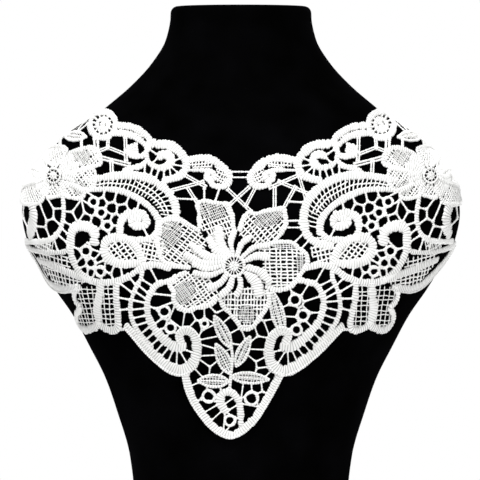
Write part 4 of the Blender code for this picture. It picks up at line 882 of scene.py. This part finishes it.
def sew_flower(sewn, cover, kind, turn, lobes, sign):
    """Net petals with satin rims and darned patches, padded lobes from the middle, and a button."""
    place = turn(kind.centre)
    centre = flat(place)
    patches = [patch_outline(patch, turn) for patch in kind.patches]
    for petal, weave in zip(kind.petals, kind.weaves):
        curve = smooth(petal_outline(place, petal, sign), pull=PETAL_PULL)
        longest = max(squares for _, squares in petal)
        outline = np.concatenate([[centre], curve])
        net_threads(sewn.petal_nets, outline, [(sign * degrees, pitch) for degrees, pitch in weave],
                    kind.thread, circle(place, kind.eye * longest), patches)
        uneven = 1 + RIM_WAVE * sewn.flowers.random.standard_normal(RIM_WAVES)
        sewn.flowers.satin(curve, half_squares(kind.rim * uneven), PETAL_CROWN, LAID_OVER)
        cover.area(outline)
        cover.band(curve[::4], half_squares([kind.rim]))
    for index, (start, end, width) in enumerate(lobes):
        run = end - start
        bulge = np.array([-run[1], run[0]]) * LOBE_BEND * sign
        curve = smooth([start, start + 0.5 * run + bulge, end])
        sewn.flowers.satin(curve, [share * width for share in LOBE_HALF_WIDTHS],
                           kind.crown, LOBE_LIFT + LOBE_LAYER * (index % 3))
    radius, width = (share * kind.button for share in BUTTON_RING)
    sewn.flowers.ring(place, radius, width, BUTTON_CROWN, BUTTON_LIFT)
    marks = np.linspace(SPOKE_REACH[0] * kind.disc, SPOKE_REACH[1] * kind.button, 5)
    sewn.petal_nets.spokes(place, marks, kind.spokes, SPOKE_WIDTH, BUTTON_CROWN)
    for share, crown in BUTTON_ROUNDS:
        sewn.flowers.ring(place, share * kind.disc, BUTTON_ROUND_WIDTH * kind.disc, crown, DISC_LIFT)


def ground_cells(sites):
    """The corners where three gaps' cells meet, and for each pair of gaps the corners they share."""
    low = np.min(sites, axis=0) - FENCE_MARGIN
    high = np.max(sites, axis=0) + FENCE_MARGIN
    up = np.linspace(low[1], high[1], FENCE_SITES[0])
    along = np.linspace(low[0], high[0], FENCE_SITES[1])[1:-1]
    fence = [(x, y) for x in (low[0], high[0]) for y in up]
    fence += [(x, y) for y in (low[1], high[1]) for x in along]
    points = [Vector(p) for p in list(sites) + fence]
    _, _, faces, _, _, _ = delaunay_2d_cdt(points, [], [], 0, 1e-7)
    corners, shared = [], {}
    for index, face in enumerate(faces):
        a, b, c = (np.array(points[v]) for v in face)
        ab, ac = b - a, c - a
        d = 2 * (ab[0] * ac[1] - ab[1] * ac[0])
        corners.append(a + np.array([ac[1] * ab.dot(ab) - ab[1] * ac.dot(ac),
                                     ab[0] * ac.dot(ac) - ac[0] * ab.dot(ab)]) / d)
        for i in range(3):
            shared.setdefault(frozenset((face[i], face[(i + 1) % 3])), []).append(index)
    return corners, shared


def ground_bars(cover, sites):
    """Bars midway between neighbouring gaps, without those that nothing holds at one end.

    A bar lies on the line where two neighbours' cells meet, and runs out both ways from the point
    of it that is nearest to them.
    """
    corners, shared = ground_cells(sites)
    bars = []
    for pair, nodes in shared.items():
        i, j = sorted(pair)
        if j >= len(sites) or len(nodes) < 2 or np.linalg.norm(sites[i] - sites[j]) > FARTHEST_GAPS:
            continue
        if any(cover.inside(sites[i] + (sites[j] - sites[i]) * share) for share in BETWEEN_GAPS):
            continue
        first, last = (corners[node] for node in nodes)
        whole = last - first
        share = (0.5 * (sites[i] + sites[j]) - first).dot(whole) / max(whole.dot(whole), 1e-12)
        start = first + whole * min(max(share, 0.0), 1.0)
        if not cover.inside(start):
            bars.append((nodes, start))
    while True:
        reached = [0] * len(corners)
        for nodes, start in bars:
            for node in nodes:
                reached[node] += run_out(cover, start, corners[node], False) is corners[node]
        laid, kept = [], []
        for nodes, start in bars:
            ends = [run_out(cover, start, corners[node], reached[node] < 2) for node in nodes]
            if all(end is not None for end in ends):
                laid.append(ends)
                kept.append((nodes, start))
        if len(kept) == len(bars):
            return laid
        bars = kept


def run_out(cover, start, end, loose):
    """Where a bar from its start towards an end is caught by the first motif.

    A firm bar that meets none stops at the end itself; a loose one runs on, and may find nothing.
    """
    length = np.linalg.norm(end - start)
    if length < 1e-6:
        return None if loose else end
    way = (end - start) / length
    for reach in np.arange(cover.cell, length + (LONGEST_BAR if loose else 0.0), cover.cell):
        if cover.inside(start + way * reach):
            return start + way * (reach + BAR_ROOT)
    return None if loose else end


# ---- laying out the lace ----

def sew_cord(sewn, cover, name, widths, places, sign):
    """A satin cord through the places, and the thin one along its rim where it has one."""
    curve = smooth(flats(places))
    broad = half_squares(widths)
    cover.band(curve, broad)
    sewn.cords.satin(curve, broad, CORD_CROWN if max(widths) > THIN_CORD else THIN_CROWN)
    if name in RIMMED:
        share, width = RIMMED[name]
        walk = Walk(curve)
        half = spread(broad, walk.run / walk.length)
        rim = walk.at(walk.run, -sign * share * half)
        sewn.cords.satin(rim, half_squares([width]), PADDED_CROWN, LAID_OVER)


def sew_leaf(sewn, cover, leaf, turn):
    """A leaf: a corded outline, a vein, and a hatch along and across it."""
    base, tip = flats((leaf.base, leaf.tip), turn)
    run = tip - base
    side = np.array([-run[1], run[0]]) / np.linalg.norm(run)
    wide = leaf.half_width * CHART_SQUARE
    vein = np.linspace(base, tip, 24)
    cover.band(vein, [share * wide for share in LEAF_COVER])
    for sign, lift in ((1, LAID_OVER), (-1, 0.0)):
        edge = smooth([base + run * t + side * sign * w * wide for t, w in LEAF_SHAPE])
        sewn.leaves.satin(edge, half_squares(LEAF_RIM), PETAL_CROWN, lift)
    sewn.leaves.satin(vein, half_squares(LEAF_VEIN), VEIN_CROWN, VEIN_LIFT)
    outline = [base + run * t + side * w * wide for t, w in LEAF_SHAPE]
    outline += [base + run * t - side * w * wide for t, w in LEAF_SHAPE[::-1]]
    degrees = math.degrees(math.atan2(run[1], run[0]))
    net_threads(sewn.nets, outline, [(degrees, LEAF_HATCH[0]), (degrees + 90, LEAF_HATCH[1])],
                HATCH_THREAD)


def sew_wheel(sewn, cover, centre):
    """A flat satin disc in a ring of small holes, with a broad satin ring around it."""
    cover.area(circle(centre, WHEEL.radius))
    sewn.leaves.ring(centre, WHEEL_CORD, WHEEL_CORD_WIDTH, CORD_CROWN, points=72)
    for radius, width in WHEEL_DISC:
        sewn.leaves.ring(centre, radius, width, CORD_CROWN)
    sewn.nets.spokes(centre, WHEEL_SPOKE_MARKS, WHEEL_SPOKES, WHEEL_SPOKE_WIDTH)


def sew_crescent(sewn, cover, turn):
    """A mesh of square holes between the crescent's two cords."""
    curve = smooth(flats(CRESCENT.route, turn))
    half = half_squares(CRESCENT.widths)
    cover.band(curve, half)
    walk = Walk(curve)
    wide = spread(half, walk.run / walk.length)
    for route in CRESCENT_THREADS:
        sewn.nets.fine(smooth(flats(route, turn)), LONG_THREAD)
    for s in np.arange(CRESCENT_END, walk.length - CRESCENT_END, CRESCENT_MESH * CHART_SQUARE):
        reach = np.interp(s, walk.run, wide)
        across = np.linspace(-1.0, 1.0, 9)
        lean = s + CRESCENT_LEAN * across * reach
        sewn.nets.fine(walk.at(lean, across * reach), CROSS_THREAD, NET_HEIGHT + OVER_THREADS)


def side_lobes(centre, petals, sign):
    """Two padded lobes to each petal of the shoulder's flower."""
    for petal in petals:
        first, last, longest = petal[0][0], petal[-1][0], max(squares for _, squares in petal)
        for share in SIDE_LOBE_PLACES:
            degrees = first + (last - first) * share
            if sign < 0:
                degrees = 180 - degrees
            reach = SIDE_LOBE_SHARE * longest
            width = SIDE_LOBE_SPREAD * math.radians(abs(last - first)) * reach * CHART_SQUARE
            yield about(centre, degrees, SIDE_LOBE_START), about(centre, degrees, reach), width


def sew_wing(sewn, cover, turn, sign):
    """One wing: its cords, crescent, leaf, nets and wheel, and the shoulder's flower."""
    for name, cord in SIDE_CORDS.items():
        route = cord.route[:LEFT_ENDS.get(name)] if sign > 0 else cord.route
        sew_cord(sewn, cover, name, cord.widths, [side_place(name, turn, p) for p in route], sign)
    sew_crescent(sewn, cover, turn)
    for leaf in SIDE_LEAVES:
        sew_leaf(sewn, cover, leaf, turn)
    for name, area in SIDE_AREAS.items():
        families = [(sign * degrees, pitch) for degrees, pitch in (area.first, area.second)]
        outline = [flat(side_place(name, turn, p)) for p in area.outline]
        net_threads(sewn.nets, outline, families, area.width)
    for name, outline in SIDE_FILLINGS.items():
        cover.area([flat(side_place(name, turn, p)) for p in outline])
    sew_wheel(sewn, cover, turn(WHEEL.centre))
    lobes = list(side_lobes(turn(SIDE_FLOWER), SIDE_PETALS, sign))
    sew_flower(sewn, cover, SHOULDER_FLOWER, turn, lobes, sign)


def sew_middle(sewn, cover):
    """The point's cords, the leaf sprays and the chest's flower."""
    for name, cord in MIDDLE_CORDS.items():
        sew_cord(sewn, cover, name, cord.widths, cord.route, 1)
    for leaf in MIDDLE_LEAVES:
        sew_leaf(sewn, cover, leaf, as_drawn)
    lobes = [(flat(lobe.start), flat(lobe.end), lobe.width * CHART_SQUARE) for lobe in MIDDLE_LOBES]
    sew_flower(sewn, cover, CHEST_FLOWER, as_drawn, lobes, 1)


def sew_ground(sewn, cover):
    """The loose bars between the gaps that no motif covers, thicker on the wings."""
    sites = flats(MIDDLE_GAPS + RIGHT_GAPS)
    for gaps in SIDE_GAPS.values():
        sites += flats(gaps) + flats(gaps, mirrored)
    sites += flats(LEFT_GAPS)
    sites = [site for site in sites if not cover.inside(site)]
    for start, end in ground_bars(cover, np.array(sites)):
        sewn.bars.twisted(start, end, np.interp(abs(start[0]), WINGS_START, BAR_WIDTHS))


def sew_firm_bars(sewn):
    """The bars of the neckline and the shoulders, the wide ones of two plies side by side."""
    firm = NECKLINE_BARS + SHOULDER_BARS
    firm += [Bar(mirrored(bar.start), mirrored(bar.end), bar.width) for bar in SHOULDER_BARS]
    for bar in firm:
        start, end = flat(bar.start), flat(bar.end)
        side = np.array([start[1] - end[1], end[0] - start[0]]) / np.linalg.norm(end - start)
        if bar.width < PLIED_BAR:
            sewn.bars.twisted(start, end, SINGLE_WIDTH * bar.width * CHART_SQUARE)
            continue
        for share in (-PLY_APART, PLY_APART):
            off = side * share * bar.width * CHART_SQUARE
            sewn.bars.twisted(start + off, end + off, PLY_WIDTH * bar.width * CHART_SQUARE)


def sew_rings(sewn):
    """The small rings that the ground holds."""
    rings = SIDE_RINGS + MIDDLE_RINGS + [Ring(mirrored(r.centre), r.radius) for r in SIDE_RINGS]
    for ring in rings:
        sewn.bars.ring(ring.centre, ring.radius - 0.5 * RING_WALL, RING_WALL, PETAL_CROWN)


def sew_lace():
    """The whole collar; the motifs are laid out first, and the ground fills what they leave."""
    sewn = Pieces(*[Sewing(seed) for seed in SEEDS])
    cover = Cover()
    for turn, sign in ((as_drawn, 1), (mirrored, -1)):
        sew_wing(sewn, cover, turn, sign)
    sew_middle(sewn, cover)
    sew_ground(sewn, cover)
    sew_firm_bars(sewn)
    sew_rings(sewn)
    return sewn


# ---- materials ----

WAVE_UNIT = 0.31416         # a wave texture of scale 1 repeats every 0.31416 units
COTTON_MOTTLES = 90.0       # to the metre: lighter and darker patches, about 11 mm across
BRUSH_MARKS = 22.0          # to the metre: where the pile was brushed, about 45 mm across
PILE_TUFTS = 1400.0         # to the metre: about 0.7 mm across, coarser than pile is, so that they show
BOARD_GRAINS = 60.0         # to the metre: unevenness of the paint, about 17 mm across


def linear(code):
    """An sRGB hex colour as a linear one."""
    parts = [int(code[i:i + 2], 16) / 255 for i in (0, 2, 4)]
    return (*[p / 12.92 if p <= 0.04045 else ((p + 0.055) / 1.055) ** 2.4 for p in parts], 1.0)


def add(tree, kind, inputs=None, links=None, **settings):
    """Adds one node to a tree, with its sockets' values, its links and its settings."""
    node = tree.nodes.new(kind)
    for name, value in settings.items():
        setattr(node, name, value)
    for name, value in (inputs or {}).items():
        node.inputs[name].default_value = value
    for name, output in (links or {}).items():
        tree.links.new(output, node.inputs[name])
    return node


def new_material(name):
    """A material with an empty tree."""
    mat = bpy.data.materials.new(name)
    mat.use_nodes = True
    tree = mat.node_tree
    tree.nodes.clear()
    return mat, tree


def cotton_thread(name, bundle, painted_shade, strength):
    """Mercerised cotton embroidery thread: bright white, with a soft silky gloss along the stitches.

    The bundle is how long one bundle of stitches is on the stitches map, whose unit is 2.2 mm. A thin
    grey line of painted shade is mixed into the colour between two bundles, standing in for the shadow
    there, and makes satin stitch look ribbed; the third argument is how dark this painted shade is. The
    plies, a quarter of a bundle, show as fine lines in relief of the given strength.
    """
    mat, tree = new_material(name)
    stitches = add(tree, "ShaderNodeUVMap", uv_map="stitches").outputs["UV"]
    parts = add(tree, "ShaderNodeSeparateXYZ", links={"Vector": stitches})
    place = add(tree, "ShaderNodeTexCoord").outputs["Object"]
    mottle = add(tree, "ShaderNodeTexNoise", {"Scale": COTTON_MOTTLES, "Detail": 3.0},
                 {"Vector": place})
    wander = add(tree, "ShaderNodeMath", {1: 0.25}, {0: mottle.outputs["Fac"], 2: parts.outputs["Y"]},
                 operation="MULTIPLY_ADD")
    between = add(tree, "ShaderNodeMath", {1: 0.5 * bundle}, {0: wander.outputs[0]},
                  operation="PINGPONG")
    # Mask of the painted shade: it is strongest in the valley between two bundles of stitches.
    valley = add(tree, "ShaderNodeMapRange",
                 {"From Min": 0.0, "From Max": 0.2 * bundle, "To Min": painted_shade, "To Max": 0.0},
                 {"Value": between.outputs[0]}, interpolation_type="SMOOTHSTEP")
    white = add(tree, "ShaderNodeValToRGB", links={"Fac": mottle.outputs["Fac"]})
    for stop, (position, code) in zip(white.color_ramp.elements, ((0.3, "e6e6e4"), (0.7, "f3f3f2"))):
        stop.position = position
        stop.color = linear(code)
    # Painted shade: grey 7c7c7b is mixed into the white in that valley, in place of the shadow between
    # the stitches.
    painted_shade_colour = add(tree, "ShaderNodeMix", {"B": linear("7c7c7b")},
                 {"Factor": valley.outputs["Result"], "A": white.outputs["Color"]}, data_type="RGBA")
    plies = add(tree, "ShaderNodeTexWave",
                {"Scale": WAVE_UNIT / (0.25 * bundle), "Distortion": 0.6, "Detail": 1.0,
                 "Detail Scale": 2.0},
                {"Vector": stitches}, wave_type="BANDS", bands_direction="Y")
    bump = add(tree, "ShaderNodeBump", {"Strength": strength, "Distance": 0.00012},
               {"Height": plies.outputs["Fac"]})
    shader = add(tree, "ShaderNodeBsdfPrincipled",
                 {"Roughness": 0.62, "IOR": 1.53, "Sheen Weight": 0.15, "Sheen Roughness": 0.4,
                  "Sheen Tint": linear("ffffff"), "Specular IOR Level": 0.35},
                 {"Base Color": painted_shade_colour.outputs["Result"], "Normal": bump.outputs["Normal"]})
    add(tree, "ShaderNodeOutputMaterial", links={"Surface": shader.outputs["BSDF"]})
    return mat


def velvet_flock():
    """Black velvet: a dense short pile that drinks the light, with a faint bloom where it turns away."""
    mat, tree = new_material("black cotton velvet, brushed pile")
    place = add(tree, "ShaderNodeTexCoord").outputs["Object"]
    brushed = add(tree, "ShaderNodeTexNoise", {"Scale": BRUSH_MARKS, "Detail": 2.0, "Roughness": 0.5},
                  {"Vector": place})
    black = add(tree, "ShaderNodeValToRGB", links={"Fac": brushed.outputs["Fac"]})
    for stop, (position, code) in zip(black.color_ramp.elements, ((0.35, "020202"), (0.7, "050506"))):
        stop.position = position
        stop.color = linear(code)
    pile = add(tree, "ShaderNodeTexNoise", {"Scale": PILE_TUFTS, "Detail": 2.0}, {"Vector": place})
    bump = add(tree, "ShaderNodeBump", {"Strength": 0.35, "Distance": 0.0003},
               {"Height": pile.outputs["Fac"]})
    shader = add(tree, "ShaderNodeBsdfPrincipled",
                 {"Roughness": 1.0, "Specular IOR Level": 0.0, "Sheen Weight": 0.015,
                  "Sheen Roughness": 0.35, "Sheen Tint": linear("9a9aa2")},
                 {"Base Color": black.outputs["Color"], "Normal": bump.outputs["Normal"]})
    add(tree, "ShaderNodeOutputMaterial", links={"Surface": shader.outputs["BSDF"]})
    return mat


# ---- the form ----

def velvet_form():
    """The form's skin: a loft of level outlines, with a rounded rim at the neck and a flat base."""
    levels = [(z, 0.0) for z in np.arange(0.0, FORM_HEIGHT - NECK_RIM - 0.5 * FORM_STEP, FORM_STEP)]
    for turn in np.linspace(0, 0.5 * math.pi, 7):
        levels.append((FORM_HEIGHT - NECK_RIM * (1 - math.sin(turn)), NECK_RIM * (1 - math.cos(turn))))
    bm = bmesh.new()
    bmesh.ops.create_grid(bm, x_segments=FORM_SIDES, y_segments=len(levels) - 1, size=1.0)
    verts = iter(bm.verts)
    for height, inset in levels:
        for k in range(FORM_SIDES + 1):
            turn = 2 * math.pi * (k % FORM_SIDES) / FORM_SIDES
            fold = turn if turn <= math.pi else 2 * math.pi - turn
            across, along = outline_point(height, np.array(fold))
            place = Vector((float(across) * (1 if turn <= math.pi else -1), float(along), 0.0))
            place *= 1 - inset / max(place.length, 1e-6)
            next(verts).co = (place.x, place.y + FORM_SETBACK, height)
    bmesh.ops.remove_doubles(bm, verts=bm.verts[:], dist=1e-6)
    rims = [e for e in bm.edges if e.is_boundary]
    for level in (0.0, FORM_HEIGHT):
        edges = [e for e in rims if abs(e.verts[0].co.z - level) < 1e-6]
        cap = bmesh.ops.edgenet_fill(bm, edges=edges)["faces"]
        bmesh.ops.inset_region(bm, faces=cap, thickness=2 * NECK_RIM, depth=0.0)
        bmesh.ops.poke(bm, faces=[f for f in cap if f.is_valid])
    bmesh.ops.recalc_face_normals(bm, faces=bm.faces[:])
    mesh = bpy.data.meshes.new("velvet_dress_form")
    bm.to_mesh(mesh)
    bm.free()
    mesh.shade_smooth()
    return mesh


def show(name, mesh, mat):
    """A piece of the object, on its one body."""
    mesh.materials.append(mat)
    piece = bpy.data.objects.new(name, mesh)
    bpy.context.scene.collection.objects.link(piece)
    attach(piece, "root")
    return piece


sewn = sew_lace()
# Both threads get a painted grey shade between their stitch bundles; the third value says how dark it is.
satin = cotton_thread("white cotton satin-stitch thread", bundle=1.0, painted_shade=0.7, strength=0.5)
twist = cotton_thread("white cotton twisted thread", bundle=1.4, painted_shade=0.25, strength=0.3)

form = show("velvet_dress_form", velvet_form(), velvet_flock())
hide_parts("dress_form")
for name, sewing, mat in (("lace_cords", sewn.cords, satin),
                          ("lace_leaves_and_wheels", sewn.leaves, satin),
                          ("lace_flowers", sewn.flowers, satin),
                          ("lace_bars_and_rings", sewn.bars, twist),
                          ("lace_nets", sewn.nets, twist),
                          ("lace_petal_nets", sewn.petal_nets, twist)):
    piece = show(name, sewing.mesh(name), mat)
    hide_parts("lace_collar")


# ---- floor, light and camera ----

def stage_floor():
    """A round pale board under the form."""
    bm = bmesh.new()
    bmesh.ops.create_circle(bm, cap_ends=True, segments=96, radius=2.0)
    mesh = bpy.data.meshes.new("floor")
    bm.to_mesh(mesh)
    bm.free()
    mat, tree = new_material("matt white painted board")
    place = add(tree, "ShaderNodeTexCoord").outputs["Object"]
    grain = add(tree, "ShaderNodeTexNoise", {"Scale": BOARD_GRAINS, "Detail": 3.0}, {"Vector": place})
    bump = add(tree, "ShaderNodeBump", {"Strength": 0.05, "Distance": 0.0005},
               {"Height": grain.outputs["Fac"]})
    shader = add(tree, "ShaderNodeBsdfPrincipled",
                 {"Base Color": linear("f6f6f6"), "Roughness": 0.9, "Specular IOR Level": 0.2},
                 {"Normal": bump.outputs["Normal"]})
    add(tree, "ShaderNodeOutputMaterial", links={"Surface": shader.outputs["BSDF"]})
    mesh.materials.append(mat)
    floor = bpy.data.objects.new("floor", mesh)
    bpy.context.scene.collection.objects.link(floor)


def soft_light(name, place, target, size, power):
    """A round soft box that looks at its target."""
    data = bpy.data.lights.new(name, "AREA")
    data.shape = "DISK"
    data.size = size
    data.energy = power
    light = bpy.data.objects.new(name, data)
    light.location = place
    light.rotation_mode = "QUATERNION"
    light.rotation_quaternion = (Vector(target) - Vector(place)).to_track_quat("-Z", "Y")
    bpy.context.scene.collection.objects.link(light)


def white_room(strength):
    """An even white world; it looks pure white, and lights the lace by its strength."""
    world = bpy.data.worlds.new("white room")
    world.use_nodes = True
    tree = world.node_tree
    tree.nodes.clear()
    seen = add(tree, "ShaderNodeLightPath")
    dim = add(tree, "ShaderNodeBackground", {"Color": linear("ffffff"), "Strength": strength})
    bright = add(tree, "ShaderNodeBackground", {"Color": linear("ffffff"), "Strength": 1.0})
    mix = add(tree, "ShaderNodeMixShader",
              links={0: seen.outputs["Is Camera Ray"], 1: dim.outputs[0], 2: bright.outputs[0]})
    add(tree, "ShaderNodeOutputWorld", links={"Surface": mix.outputs[0]})
    bpy.context.scene.world = world


stage_floor()
white_room(strength=0.36)
CHEST = (0.0, -0.09, 0.27)
soft_light("key", (-0.5, -1.35, 2.6), CHEST, size=0.6, power=74.0)
soft_light("fill", (1.5, -2.0, 0.9), CHEST, size=1.2, power=15.0)
soft_light("top", (0.0, 0.6, 2.4), (0.0, 0.0, 0.2), size=1.4, power=14.0)
bpy.context.scene.view_settings.view_transform = "Standard"

CAMERA_AWAY = 6.0
VIEW_MIDDLE = (-0.0008, 0.2665)
VIEW_WIDTH = 0.3936
VIEW_DEPTH = -0.072         # where the view is that wide
camera = bpy.data.cameras.new("camera")
camera.sensor_width = 36.0
camera.lens = 36.0 * (CAMERA_AWAY + VIEW_DEPTH) / VIEW_WIDTH
camera.clip_end = 50.0
eye = bpy.data.objects.new("camera", camera)
eye.location = (VIEW_MIDDLE[0], -CAMERA_AWAY, VIEW_MIDDLE[1])
eye.rotation_euler = (math.pi / 2, 0.0, 0.0)
bpy.context.scene.collection.objects.link(eye)
bpy.context.scene.camera = eye
